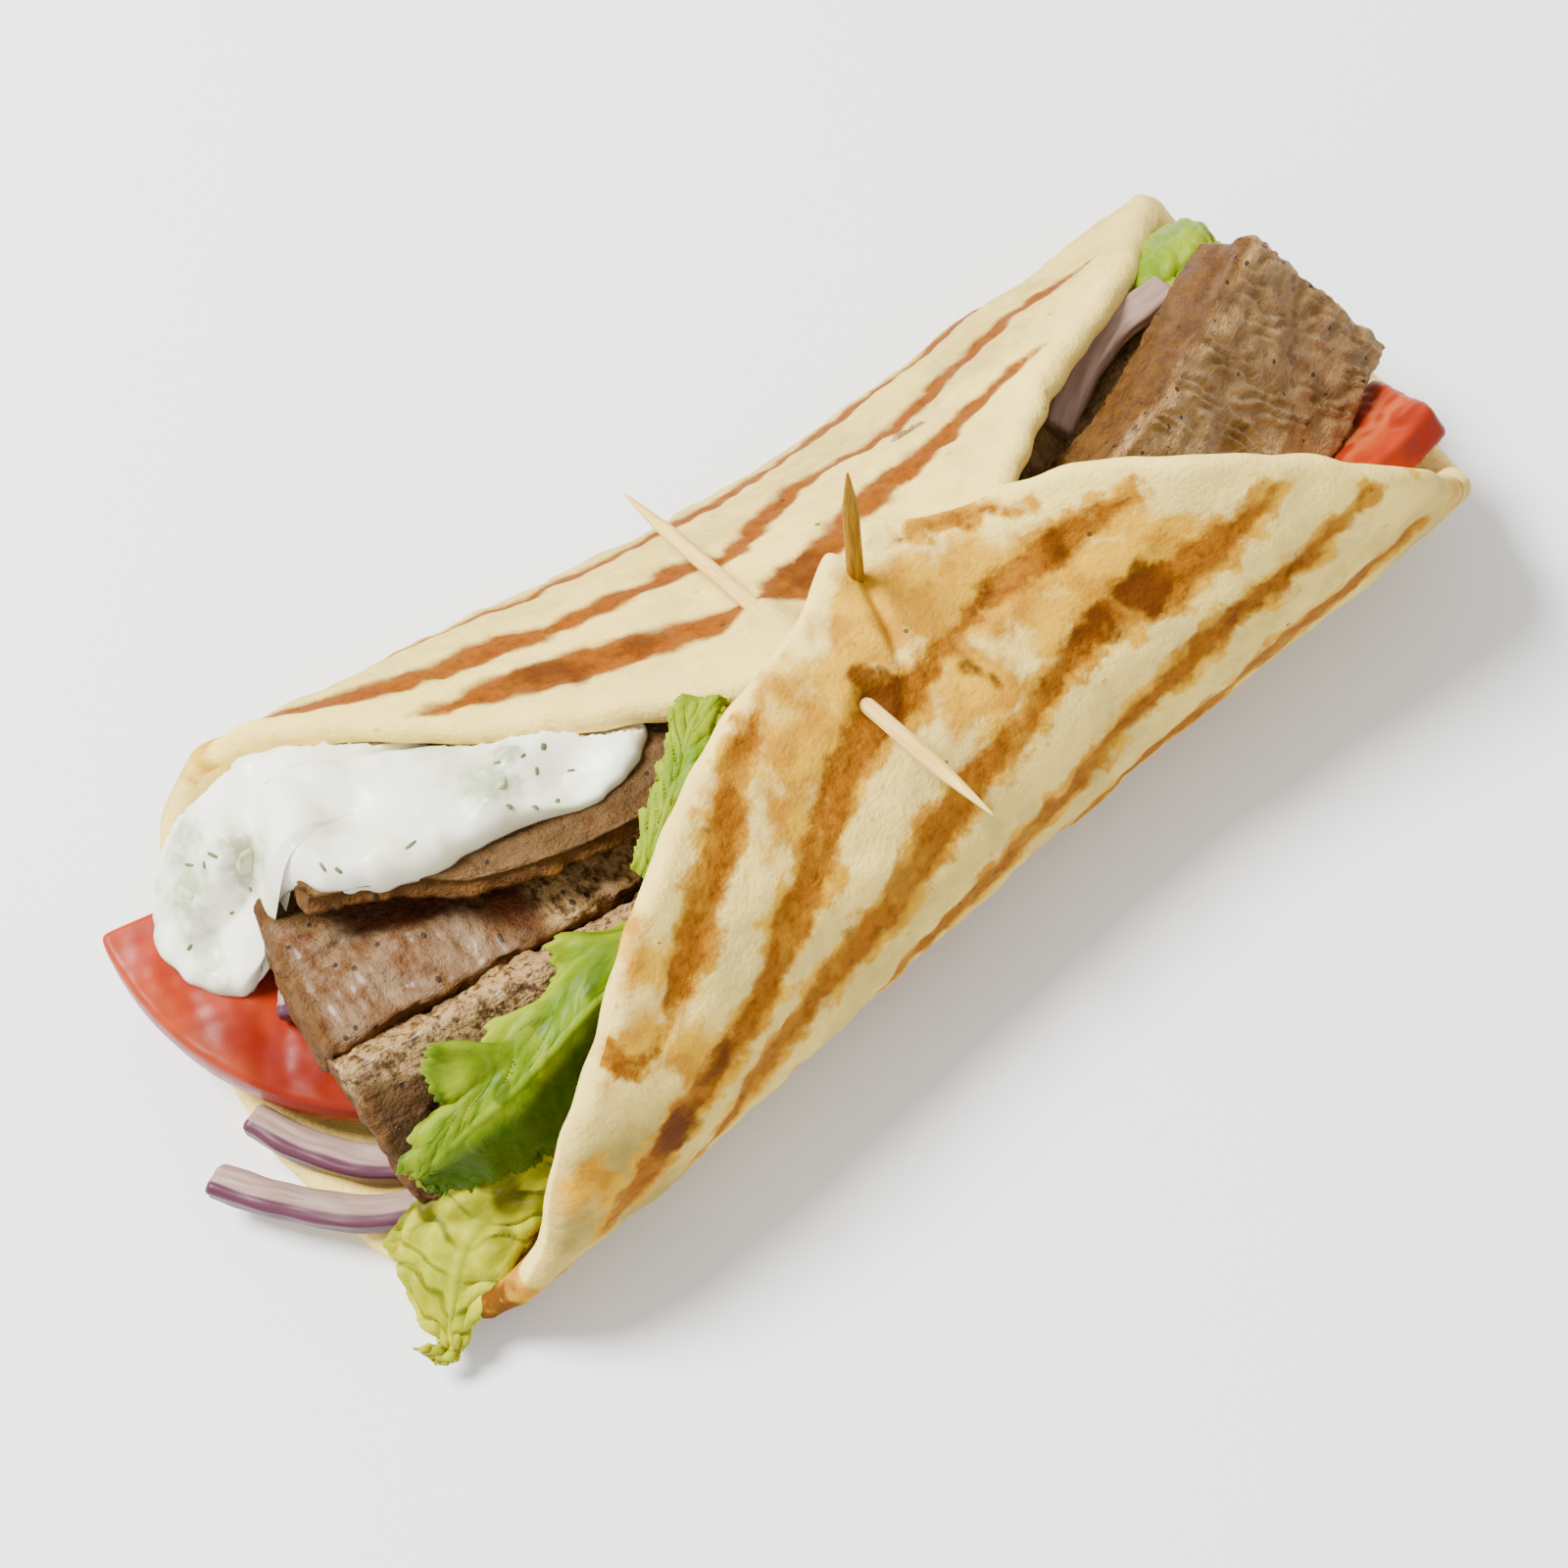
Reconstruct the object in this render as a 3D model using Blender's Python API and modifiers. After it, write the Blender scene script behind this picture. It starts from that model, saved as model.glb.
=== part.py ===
"""Gyro wrap: a round flatbread folded over meat strips, salad and sauce, pinned with two toothpicks.

X runs along the wrap, Y across it towards the far flap, and the bread rests on the plane Z = 0,
with the origin under the middle of the uncut bread disc. Sizes are in millimetres, and each mesh
becomes metres when it is made.
"""

import math

import bmesh
import bpy
import numpy as np
from mathutils import Vector
from mathutils.bvhtree import BVHTree

MM = 0.001
GAP = 0.3

# Flatbread: a disc that bends up along both long sides.
BREAD_RADIUS = 89.0
BREAD_THICKNESS = 4.0
BREAD_SHIFT = -2.5  # the disc's centre lies this far towards the near flap
BREAD_STRETCH = 1.02  # how much wider than long the disc is
BREAD_SAG = 4.0  # how far the two ends swing towards the near side
BREAD_RINGS = (0.17, 0.26, 0.35, 0.43, 0.51, 0.59, 0.67, 0.75, 0.83, 0.91)  # shares of the radius
BREAD_DIRECTIONS = 64
# Each flap at six stations along X, as a share of the radius from the left end to the right end:
# the flat half-width on the table, the arc length of the bend, and how far the bend and the lip
# turn the bread, in degrees.
STATIONS = (-1.0, -0.62, -0.25, 0.12, 0.55, 1.0)
NEAR_FLAP = {
    "flat": (17, 16, 16, 16, 13, 7),
    "bend": (37, 48, 54, 56, 57, 56),
    "turn": (127, 128, 142, 146, 120, 95),
    "lip": (0, 4, 16, 18, 8, 0),
    "lip_start": 66,
    "lip_length": 28,
}
FAR_FLAP = {
    "flat": (23, 20, 15, 12, 12, 13),
    "bend": (63, 53, 42, 33, 30, 27),
    "turn": (136, 161, 150, 139, 134, 126),
    "lip": (0, 4, 20, 41, 18, 0),
    "lip_start": 54,
    "lip_length": 30,
}
# Uneven outline of the disc: direction and half-width in degrees, and growth as a share of the radius.
OUTLINE_BUMPS = ((64, 22, -0.085), (110, 18, -0.02), (285, 20, 0.012), (332, 16, -0.025))
NOTCH = (271, 2.4, -0.033)  # where the near flap's lip parts round the upright toothpick

# Toothpicks
PICK_LENGTH = 65.0
PICK_DIAMETER = 2.0
PICK_TAPER = 9.0
PICK_POINT = (0.25, 0.6)  # radius of the point, and how far back from the end it has that radius
PICK_STEPS = 12
ACROSS_TIPS = ((-7.9, 24.6, 35.0), (-8.1, -40.0, 42.5))
UPRIGHT_TIPS = ((3.0, -6.5, 4.7), (0.1, -7.7, 69.5))
# Where each toothpick's hole through the bread begins and ends, from the middle of the toothpick.
ACROSS_HOLE = (3.0, 22.0)
UPRIGHT_HOLE = (-8.0, 3.0)

# Meat strips. Each station of a path is (x, y, z, lean of the broad face towards the near side).
MEATS = {
    "meat_top": {
        "path": ((-71, 17.5, 30.5, -10), (-58, 11, 29, -10), (-38, 1.3, 27.4, -14), (-8, -2, 26.3, -8)),
        "width": 20.5,
        "thickness": 7.0,
        "slant": (3, 2),
    },
    "meat_middle": {
        "path": ((-77, 8.5, 24.3, -3), (-58, 4, 22.1, -8), (-38, 0.5, 19.5, -13), (-8, 0.5, 17.5, -8)),
        "width": 20,
        "thickness": 7.0,
        "slant": (-3, 2),
    },
    "meat_near": {
        "path": (
            (-80, -12, 19, 45),
            (-58, -17.6, 18.6, 45),
            (-38, -21, 17.8, 44),
            (-10, -21.2, 17.4, 40),
            (18, -21.5, 16.2, 37),
        ),
        "width": 21,
        "thickness": 7.0,
        "slant": (-2, 2),
    },
    "meat_far": {
        "path": (
            (9, -2.5, 17.2, 40),
            (24, -7.5, 17.4, 46),
            (40, -11.4, 18.2, 51),
            (56, -7.4, 18.8, 52),
            (70, -3, 18.8, 52),
        ),
        "width": 22,
        "thickness": 8.0,
        "slant": (0, -3),
    },
    "meat_broad": {
        "path": ((22, -19.3, 22, 48), (40, -19.4, 24.5, 51), (57, -15.2, 25.1, 52), (76.5, -8.4, 25.1, 52)),
        "width": 30,
        "thickness": 10.0,
        "slant": (0, -8),
    },
}
MEAT_CORNER = 1.4

# Tomato: a quarter of a large slice at the left end, a wedge at the right end.
TOMATO_CENTRE = (-52, 20, 14)
TOMATO_RADIUS = 38.5
TOMATO_THICKNESS = 6.5
TOMATO_FROM, TOMATO_TO = 163, 238  # directions of its two straight cuts
TOMATO_TILT = 6.3
TOMATO_ROUNDING = 0.9
WEDGE_PATH = ((63, -28.6, 13.7, -46), (72, -28.2, 13.8, -44), (80, -27.2, 14.2, -42))
WEDGE_WIDTH = 13
WEDGE_THICKNESS = 5.0

# Onion strips: stations (x, y, z, lean).
ONION_WIDTH = 4.6
ONION_THICKNESS = 3.2
ONION_CORNER = 0.8
ONIONS = {
    "onion_left_upper": ((-89.5, 5.5, 6.3, 0), (-86, -4, 6.1, 0), (-79.5, -12.3, 6, 0), (-68, -17, 6, 0)),
    "onion_left_lower": (
        (-98, 3.5, 6.1, 0),
        (-93.3, -5.5, 6.1, 0),
        (-85.5, -15.3, 6.2, 0),
        (-72, -22.6, 6.7, 4),
    ),
    "onion_left_inner": ((-81, 10.5, 18.3, 6), (-76, 6.5, 17.9, 6), (-71, 3, 17.6, 6)),
    "onion_right": ((39.5, -2.2, 29.8, 0), (50, -0.6, 30.2, 0), (60, 2.3, 30.2, 0), (67.5, 4.6, 30.8, 0)),
}

# Leaves: cages of rows across the leaf, from the hidden root to the tip.
LEAF_THICKNESS = 0.9
FINE_CAGE = 30  # a cage with at least this many points is subdivided once, a coarser one twice
LEAVES = {
    "lettuce_left_upper": (
        ((-40, -14, 31.5), (-40, -19, 30.5), (-40, -25, 28), (-40, -30, 23)),
        ((-50, -12, 33), (-51, -19, 30), (-51, -26, 26), (-51, -31.5, 21)),
        ((-62, -13, 31.5), (-63, -20, 27), (-63, -26, 22.5), (-62, -31.5, 18)),
        ((-72, -12.5, 30), (-71, -19, 24.5), (-71, -25, 19.5), (-69, -30, 16.5)),
        ((-79, -16.5, 25), (-82, -20, 21), (-80, -24, 18), (-76, -28, 16)),
    ),
    "lettuce_left_lower": (
        ((-55, -27, 10), (-56, -30, 12), (-57, -32, 14.5)),
        ((-69, -25, 10), (-69, -28.5, 11), (-69, -31.3, 12.5)),
        ((-81, -23.5, 10.3), (-80, -28, 10.3), (-78, -30.8, 11.8)),
        ((-88, -24, 8.5), (-88, -28.5, 8.8), (-87, -32.5, 9.3)),
        ((-93, -29.5, 3.5), (-93, -31, 3.2), (-92, -33, 3.2)),
    ),
    "lettuce_middle": (
        ((-20, -8.5, 38), (-20, -12, 38.5), (-21, -15, 38)),
        ((-25, -5.5, 37.5), (-28, -10, 37.5), (-29, -14.5, 37)),
        ((-34, -5.5, 36.8), (-38, -10, 36.6), (-39, -14.5, 35.5)),
    ),
    "lettuce_through": (
        ((-30, 18, 25), (-30, 25, 18), (-30, 24, 9), (-30, 16, 5.8), (-30, 3, 5.6), (-30, -8, 6.5),
         (-30, 1, 10), (-30, 12, 11), (-30, 16, 17)),
        ((-10, 12, 26), (-10, 18.5, 20), (-10, 21.5, 11), (-10, 15, 5.8), (-10, 3, 5.6), (-10, -9, 6),
         (-10, 0, 9), (-10, 11, 9.5), (-10, 14, 17)),
        ((10, 9, 25), (10, 15.5, 19), (10, 18.5, 11.5), (10, 14, 6), (10, 3, 5.6), (10, -6.5, 5.6),
         (10, 0, 8.7), (10, 8, 10), (10, 10.5, 17)),
        ((30, 6, 26), (30, 12.5, 19), (30, 17, 12.5), (30, 13.5, 6.3), (30, 3, 5.7), (30, -9, 5.7),
         (30, -1, 8.7), (30, 6, 10.5), (30, 8.5, 16.5)),
        ((50, 6, 26), (50, 11, 20), (50, 15.5, 13.5), (50, 13, 7), (50, 3, 5.8), (50, -9, 6),
         (50, -1, 9), (50, 5, 11.5), (50, 7, 16)),
        ((64, 6.6, 26.8), (64, 10.8, 20.5), (64, 15, 13.5), (64, 13, 7.3), (64, 3, 6), (64, -9, 6.2),
         (64, -1, 9.2), (64, 5.5, 12), (64, 7, 16.5)),
        ((75, 3.5, 30.8), (76, 8.5, 23), (76, 13.5, 14.5), (76, 12.5, 8), (76, 3, 6.3), (75, -8, 6.5),
         (74, -0.5, 9.5), (73, 5, 12.5), (72, 6.5, 17)),
    ),
}

# Sauce: (x, y, height of its top) at the middle and round the outline.
SAUCE_FOOT = 0.6  # clearance between the sauce and what it lies on
SAUCE_EDGE = 0.8  # its least thickness
SAUCE_REACH = 2.4  # how far round a place the sauce bridges the steps under it
SAUCE_SKY = 60.0  # above every piece that the sauce lies on
SAUCE_UNDER = 3.0  # how far below its top the sauce may tuck in under the bread
SAUCE_DEPTH = 9.0  # its foot lies at most this far below its top
SAUCE_DOME = 1.8  # how sharply the top rounds over towards the outline
SAUCE_SMOOTHING = 10  # passes
SAUCE_MIDDLE = (-60, 15, 37)
SAUCE_OUTLINE = (
    (-86, 28.5, 18), (-85, 20, 17.5), (-80.5, 14, 21), (-74, 9, 31), (-65, 5.5, 34.5), (-54, 0.5, 34.5),
    (-43, -4, 34), (-34, -5.5, 34), (-29.5, -3, 33.5), (-36, 2.5, 33), (-45, 13, 30.5), (-53, 22, 29),
    (-60, 29, 25), (-70, 32.5, 20), (-80, 32, 17),
)


def clear_scene():
    for old in list(bpy.data.objects):
        bpy.data.objects.remove(old, do_unlink=True)


def new_collection(name):
    collection = bpy.data.collections.new(name)
    bpy.context.scene.collection.children.link(collection)
    return collection


def material(name, colour, roughness, metallic=0.0):
    made = bpy.data.materials.new(name)
    made.use_nodes = True
    shader = made.node_tree.nodes["Principled BSDF"]
    shader.inputs["Base Color"].default_value = (*colour, 1.0)
    shader.inputs["Roughness"].default_value = roughness
    shader.inputs["Metallic"].default_value = metallic
    made.diffuse_color = (*colour, 1.0)
    return made


def solid(name, points, faces, finish, collection):
    """A mesh object from points in millimetres and faces as index tuples, with its faces turned out."""
    mesh = bpy.data.meshes.new(name)
    mesh.from_pydata((np.asarray(points, float) * MM).tolist(), [], faces)
    shell = bmesh.new()
    shell.from_mesh(mesh)
    bmesh.ops.recalc_face_normals(shell, faces=shell.faces)
    shell.to_mesh(mesh)
    shell.free()
    mesh.materials.append(finish)
    mesh.shade_smooth()
    mesh.set_sharp_from_angle(angle=math.radians(40))
    made = bpy.data.objects.new(name, mesh)
    collection.objects.link(made)
    return made


def through(stations, values, at):
    """Smooth curve through the values at the stations: cubic pieces whose slopes match where they meet."""
    stations, values = np.asarray(stations, float), np.asarray(values, float)
    steps = np.diff(stations)
    rises = np.diff(values) / steps
    slopes = np.empty_like(values)
    slopes[0], slopes[-1] = rises[0], rises[-1]
    slopes[1:-1] = (rises[:-1] * steps[1:] + rises[1:] * steps[:-1]) / (steps[1:] + steps[:-1])
    piece = np.clip(np.searchsorted(stations, at) - 1, 0, len(steps) - 1)
    step = steps[piece]
    t = (at - stations[piece]) / step
    return (
        values[piece] * (1 + 2 * t) * (1 - t) ** 2
        + slopes[piece] * step * t * (1 - t) ** 2
        + values[piece + 1] * t * t * (3 - 2 * t)
        + slopes[piece + 1] * step * t * t * (t - 1)
    )


# ---------------------------------------------------------------- flatbread


def eased(t):
    """Share of a bend's turn reached at share t of its length: tightest half way along."""
    t = np.clip(t, 0.0, 1.0)
    return 0.5 * t + 0.5 * t * t * (3 - 2 * t)


def bread_surface(u, v, depth):
    """The point at (u, v) on the flat disc after folding, depth millimetres in from its outer face.

    Across the wrap the bread keeps its length: its angle to the table grows with the distance
    from the middle, and height and width are the sums of its sine and cosine along the way.
    """
    u, v = np.asarray(u, float), np.asarray(v, float)
    share = np.clip(u / BREAD_RADIUS, -1.0, 1.0)
    far = v >= 0

    def of_flap(key):
        pick = [through(STATIONS, flap[key], share) for flap in (FAR_FLAP, NEAR_FLAP)]
        return np.where(far, *pick)[..., None]

    flat, bend, turn, lip = (of_flap(key) for key in ("flat", "bend", "turn", "lip"))
    lip_start = np.where(far, FAR_FLAP["lip_start"], NEAR_FLAP["lip_start"])[..., None]
    lip_length = np.where(far, FAR_FLAP["lip_length"], NEAR_FLAP["lip_length"])[..., None]

    def angle(arc):
        return np.radians(turn * eased((arc - flat) / bend) + lip * eased((arc - lip_start) / lip_length))

    arc = np.abs(v)[..., None]
    steps = 48
    along = angle(arc * (np.arange(steps) + 0.5) / steps)
    across = np.cos(along).mean(-1) * arc[..., 0]
    height = np.sin(along).mean(-1) * arc[..., 0]
    end = angle(arc)[..., 0]
    side = np.where(far, 1.0, -1.0)
    y = side * across - BREAD_SAG * share**2 - side * np.sin(end) * depth
    return np.stack([u, y, height + np.cos(end) * depth], axis=-1)


def bread_rim(direction, inset=0.0):
    """Flat coordinates of the disc's outline in a direction in degrees, inset from the edge."""
    size = np.ones_like(direction)
    for centre, half_width, growth in (*OUTLINE_BUMPS, NOTCH):
        off = (direction - centre + 180.0) % 360.0 - 180.0
        size += growth * np.exp(-((off / half_width) ** 2))
    turn = np.radians(direction)
    u = (BREAD_RADIUS * size - inset) * np.cos(turn)
    v = BREAD_SHIFT + (BREAD_RADIUS * BREAD_STRETCH * size - inset) * np.sin(turn)
    return u, v


def flatbread(finish, collection):
    """Rings of points from the middle of the outer face, round the rim, to the middle of the inner face."""
    notch_turns = NOTCH[0] + NOTCH[1] * np.linspace(-1.6, 1.6, 5)
    directions = np.union1d(np.linspace(0, 360, BREAD_DIRECTIONS, endpoint=False), notch_turns)
    shares = np.array(BREAD_RINGS)
    half = BREAD_THICKNESS / 2
    rings = [(share, half, 0.0) for share in shares]
    for turn in np.radians([-90, -45, 0, 45, 90]):
        rings.append((1.0, half * (1 - math.cos(turn)), half * (1 + math.sin(turn))))
    rings += [(share, half, BREAD_THICKNESS) for share in shares[::-1]]
    points = [bread_surface(0.0, BREAD_SHIFT, 0.0)[None]]
    for share, inset, depth in rings:
        u, v = bread_rim(directions, inset)
        points.append(bread_surface(share * u, BREAD_SHIFT + share * (v - BREAD_SHIFT), depth))
    points.append(bread_surface(0.0, BREAD_SHIFT, BREAD_THICKNESS)[None])
    points = np.concatenate(points)
    around, last = len(directions), len(points) - 1
    faces = []
    for k in range(around):
        n = (k + 1) % around
        faces.append((0, 1 + n, 1 + k))
        for ring in range(len(rings) - 1):
            low, high = 1 + ring * around, 1 + (ring + 1) * around
            faces.append((low + k, low + n, high + n, high + k))
        top = 1 + (len(rings) - 1) * around
        faces.append((last, top + k, top + n))
    return solid("flatbread", points, faces, finish, collection)


# ---------------------------------------------------------------- toothpicks


def turned(name, profile, start, end, finish, collection):
    """A profile of (radius, height) turned about the line from start to end, whose middle is height 0."""
    start, end = Vector(start) * MM, Vector(end) * MM
    mesh = bpy.data.meshes.new(name)
    edges = [(k, k + 1) for k in range(len(profile) - 1)]
    mesh.from_pydata([(radius * MM, 0, height * MM) for radius, height in profile], edges, [])
    mesh.materials.append(finish)
    made = bpy.data.objects.new(name, mesh)
    collection.objects.link(made)
    screw = made.modifiers.new("Turn", "SCREW")
    screw.steps = screw.render_steps = PICK_STEPS
    screw.use_merge_vertices = True
    screw.merge_threshold = 0.00002
    made.location = (start + end) / 2
    made.rotation_mode = "QUATERNION"
    made.rotation_quaternion = (end - start).to_track_quat("Z", "Y")
    return made


def toothpick(name, tips, finish, collection):
    """A round stick that tapers to a point at both ends."""
    half = PICK_LENGTH / 2
    tip_radius, tip_length = PICK_POINT
    upper = [(0, half), (tip_radius, half - tip_length), (PICK_DIAMETER / 2, half - PICK_TAPER)]
    profile = upper + [(r, -h) for r, h in reversed(upper)]
    return turned(name, profile, *tips, finish, collection)


def bore(name, target, tips, span, cutters):
    """Cuts a toothpick's hole through the target, between two distances from the pick's middle."""
    low, high = span
    radius = PICK_DIAMETER / 2 + GAP
    profile = [(0, high), (radius, high), (radius, low), (0, low)]
    cutter = turned(name, profile, *tips, target.data.materials[0], cutters)
    cutter.hide_render = True
    cutter.display_type = "WIRE"
    cut = target.modifiers.new("Toothpick hole", "BOOLEAN")
    cut.operation = "DIFFERENCE"
    cut.object = cutter


# ---------------------------------------------------------------- filling


def strip(name, path, width, thickness, finish, collection, slant=(0.0, 0.0), corner=MEAT_CORNER, pieces=9):
    """A rounded bar carried along a path.

    Each station of the path is (x, y, z, roll): the middle of the section and how far its broad
    face leans towards the near side, in degrees. The two cut ends slant by so many millimetres
    across the width.
    """
    stations = np.asarray(path, float)
    knots = np.linspace(0, 1, len(stations))
    along = np.linspace(0, 1, pieces)
    centre = np.stack([through(knots, stations[:, k], along) for k in range(3)], axis=-1)
    roll = np.radians(through(knots, stations[:, 3], along))[:, None]
    forward = np.gradient(centre, axis=0)
    forward /= np.linalg.norm(forward, axis=1, keepdims=True)
    side = np.cross([0.0, 0.0, 1.0], forward)
    side /= np.linalg.norm(side, axis=1, keepdims=True)
    up = np.cross(forward, side)
    across = side * np.cos(roll) + up * np.sin(roll)
    normal = np.cross(forward, across)
    turns = np.radians([5, 45, 85, 95, 135, 175, 185, 225, 265, 275, 315, 355])
    flat = np.sign(np.cos(turns)) * (width / 2 - corner) + corner * np.cos(turns)
    tall = np.sign(np.sin(turns)) * (thickness / 2 - corner) + corner * np.sin(turns)
    slanted = np.linspace(slant[0], slant[1], pieces)[:, None] * flat / width
    points = (
        centre[:, None]
        + across[:, None] * flat[None, :, None]
        + normal[:, None] * tall[None, :, None]
        + forward[:, None] * slanted[..., None]
    )
    count = len(turns)
    faces = [tuple(range(count)), tuple((pieces - 1) * count + k for k in range(count))]
    for ring in range(pieces - 1):
        for k in range(count):
            n = (k + 1) % count
            low, high = ring * count, (ring + 1) * count
            faces.append((low + k, low + n, high + n, high + k))
    return solid(name, points.reshape(-1, 3), faces, finish, collection)


def slice_of_tomato(name, finish, collection):
    """A flat sector of a round slice, tilted up towards the far flap."""
    turns = np.radians(np.linspace(TOMATO_FROM, TOMATO_TO, 15))
    outline = [(0.0, 0.0)] + [(TOMATO_RADIUS * math.cos(t), TOMATO_RADIUS * math.sin(t)) for t in turns]
    base = bmesh.new()
    face = base.faces.new([base.verts.new((x * MM, y * MM, -TOMATO_THICKNESS / 2 * MM)) for x, y in outline])
    grown = bmesh.ops.extrude_face_region(base, geom=[face])
    tops = [item for item in grown["geom"] if isinstance(item, bmesh.types.BMVert)]
    bmesh.ops.translate(base, verts=tops, vec=(0, 0, TOMATO_THICKNESS * MM))
    bmesh.ops.recalc_face_normals(base, faces=base.faces)
    mesh = bpy.data.meshes.new(name)
    base.to_mesh(mesh)
    base.free()
    mesh.materials.append(finish)
    made = bpy.data.objects.new(name, mesh)
    collection.objects.link(made)
    rounding = made.modifiers.new("Rounding", "BEVEL")
    rounding.width = TOMATO_ROUNDING * MM
    rounding.segments = 2
    made.location = Vector(TOMATO_CENTRE) * MM
    made.rotation_euler = (math.radians(TOMATO_TILT), 0, 0)
    return made


def leaf(name, rows, finish, collection):
    """A leaf from a coarse cage: rows of points across it, from its hidden root to its tip."""
    cage = np.asarray(rows, float)
    high, wide = cage.shape[:2]
    faces = []
    for row in range(high - 1):
        for k in range(wide - 1):
            low = row * wide + k
            faces.append((low, low + 1, low + 1 + wide, low + wide))
    made = solid(name, cage.reshape(-1, 3), faces, finish, collection)
    soft = made.modifiers.new("Soft", "SUBSURF")
    soft.levels = soft.render_levels = 2 if high * wide < FINE_CAGE else 1
    soft.boundary_smooth = "PRESERVE_CORNERS"
    sheet = made.modifiers.new("Sheet", "SOLIDIFY")
    sheet.thickness = LEAF_THICKNESS * MM
    sheet.offset = 0.0
    return made


def room_for_sauce(supports, roof):
    """A function that gives the lowest and highest sauce may reach at a place, and just around it."""
    graph = bpy.context.evaluated_depsgraph_get()

    def tree_of(support):
        evaluated = support.evaluated_get(graph)
        mesh = evaluated.to_mesh()
        corners = [support.matrix_world @ corner.co for corner in mesh.vertices]
        tree = BVHTree.FromPolygons(corners, [tuple(face.vertices) for face in mesh.polygons])
        evaluated.to_mesh_clear()
        return tree

    def hit(tree, x, y, start, way):
        place = tree.ray_cast(Vector((x, y, start)) * MM, Vector((0, 0, way)))[0]
        return [] if place is None else [place.z / MM]

    trees = [tree_of(support) for support in supports]
    cover = tree_of(roof)

    def room(x, y, ceiling):
        found, lid = [BREAD_THICKNESS], [SAUCE_SKY]
        for dx in (-SAUCE_REACH, 0.0, SAUCE_REACH):
            for dy in (-SAUCE_REACH, 0.0, SAUCE_REACH):
                for tree in trees:
                    found += hit(tree, x + dx, y + dy, SAUCE_SKY, -1)
                found += hit(cover, x + dx, y + dy, ceiling - SAUCE_UNDER, -1)
                lid += hit(cover, x + dx, y + dy, max(found + [ceiling - SAUCE_UNDER]), 1)
        return max(found) + SAUCE_FOOT, min(lid) - SAUCE_FOOT

    return room


def sauce_heap(name, middle, outline, supports, roof, finish, collection, around=34, rings=8):
    """A spooned heap: a domed top over a foot that follows whatever lies beneath it.

    The middle and each point of the outline are (x, y, height of the top). Top and foot are both
    smoothed along the rings and between them, within the room that there is.
    """
    room = room_for_sauce(supports, roof)
    closed = np.vstack([outline, outline[:1]])
    turns = np.linspace(0, 1, around, endpoint=False)
    rim = np.stack([through(np.linspace(0, 1, len(closed)), closed[:, k], turns) for k in range(3)], axis=-1)
    share = (np.arange(rings + 1) / rings)[:, None, None]
    spread = middle + (rim - middle) * np.concatenate([share, share, share**SAUCE_DOME], axis=-1)
    limits = np.array([[room(*place) for place in ring] for ring in spread])
    low, lid = limits[..., 0], limits[..., 1]

    def relaxed(height, least, most):
        for _ in range(SAUCE_SMOOTHING):
            beside = (np.roll(height, 1, axis=1) + np.roll(height, -1, axis=1)) / 2
            between = np.concatenate([height[1:2], (height[:-2] + height[2:]) / 2, height[-1:]])
            height = np.clip((2 * height + beside + between) / 4, least, np.maximum(least, most))
            height[0] = height[0].max()
        return height

    top = relaxed(np.clip(spread[..., 2], low + SAUCE_EDGE, None), low + SAUCE_EDGE, lid)
    foot = relaxed(np.maximum(low, top - SAUCE_DEPTH), low, top - SAUCE_EDGE)
    points = []
    for height in (top, foot):
        sheet = np.concatenate([spread[..., :2], height[..., None]], axis=-1)
        points += [sheet[:1, 0], sheet[1:].reshape(-1, 3)]
    points = np.concatenate(points)
    count = len(points) // 2
    faces = []
    for k in range(around):
        n = (k + 1) % around
        faces.append((0, 1 + k, 1 + n))
        faces.append((count, count + 1 + n, count + 1 + k))
        for ring in range(rings - 1):
            low, high = 1 + ring * around, 1 + (ring + 1) * around
            faces.append((low + k, high + k, high + n, low + n))
            faces.append((count + low + k, count + low + n, count + high + n, count + high + k))
        edge = 1 + (rings - 1) * around
        faces.append((edge + k, count + edge + k, count + edge + n, edge + n))
    return solid(name, points, faces, finish, collection)


def build():
    clear_scene()
    parts = new_collection("gyro_wrap")
    cutters = new_collection("cutters")
    crust = material("flatbread", (0.80, 0.66, 0.45), 0.75)
    wood = material("toothpick", (0.80, 0.62, 0.38), 0.6)
    meat = material("gyro_meat", (0.30, 0.17, 0.09), 0.45)
    tomato = material("tomato", (0.72, 0.10, 0.04), 0.25)
    onion = material("red_onion", (0.62, 0.42, 0.52), 0.3)
    lettuce = material("lettuce", (0.30, 0.55, 0.05), 0.4)
    white = material("yoghurt_sauce", (0.85, 0.86, 0.78), 0.35)

    bread = flatbread(crust, parts)
    toothpick("toothpick_across", ACROSS_TIPS, wood, parts)
    toothpick("toothpick_upright", UPRIGHT_TIPS, wood, parts)
    bore("bore_across", bread, ACROSS_TIPS, ACROSS_HOLE, cutters)
    bore("bore_upright", bread, UPRIGHT_TIPS, UPRIGHT_HOLE, cutters)
    meats = {
        name: strip(name, one["path"], one["width"], one["thickness"], meat, parts, slant=one["slant"])
        for name, one in MEATS.items()
    }
    slice_left = slice_of_tomato("tomato_left", tomato, parts)
    wedge = {"slant": (0, 4), "corner": TOMATO_ROUNDING, "pieces": 5}
    strip("tomato_right", WEDGE_PATH, WEDGE_WIDTH, WEDGE_THICKNESS, tomato, parts, **wedge)
    onions = {
        name: strip(name, path, ONION_WIDTH, ONION_THICKNESS, onion, parts, corner=ONION_CORNER, pieces=8)
        for name, path in ONIONS.items()
    }
    for name, rows in LEAVES.items():
        leaf(name, rows, lettuce, parts)
    bpy.context.view_layer.update()
    under = (meats["meat_top"], meats["meat_middle"], slice_left, onions["onion_left_inner"])
    sauce_heap("sauce", SAUCE_MIDDLE, SAUCE_OUTLINE, under, bread, white, parts)


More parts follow.
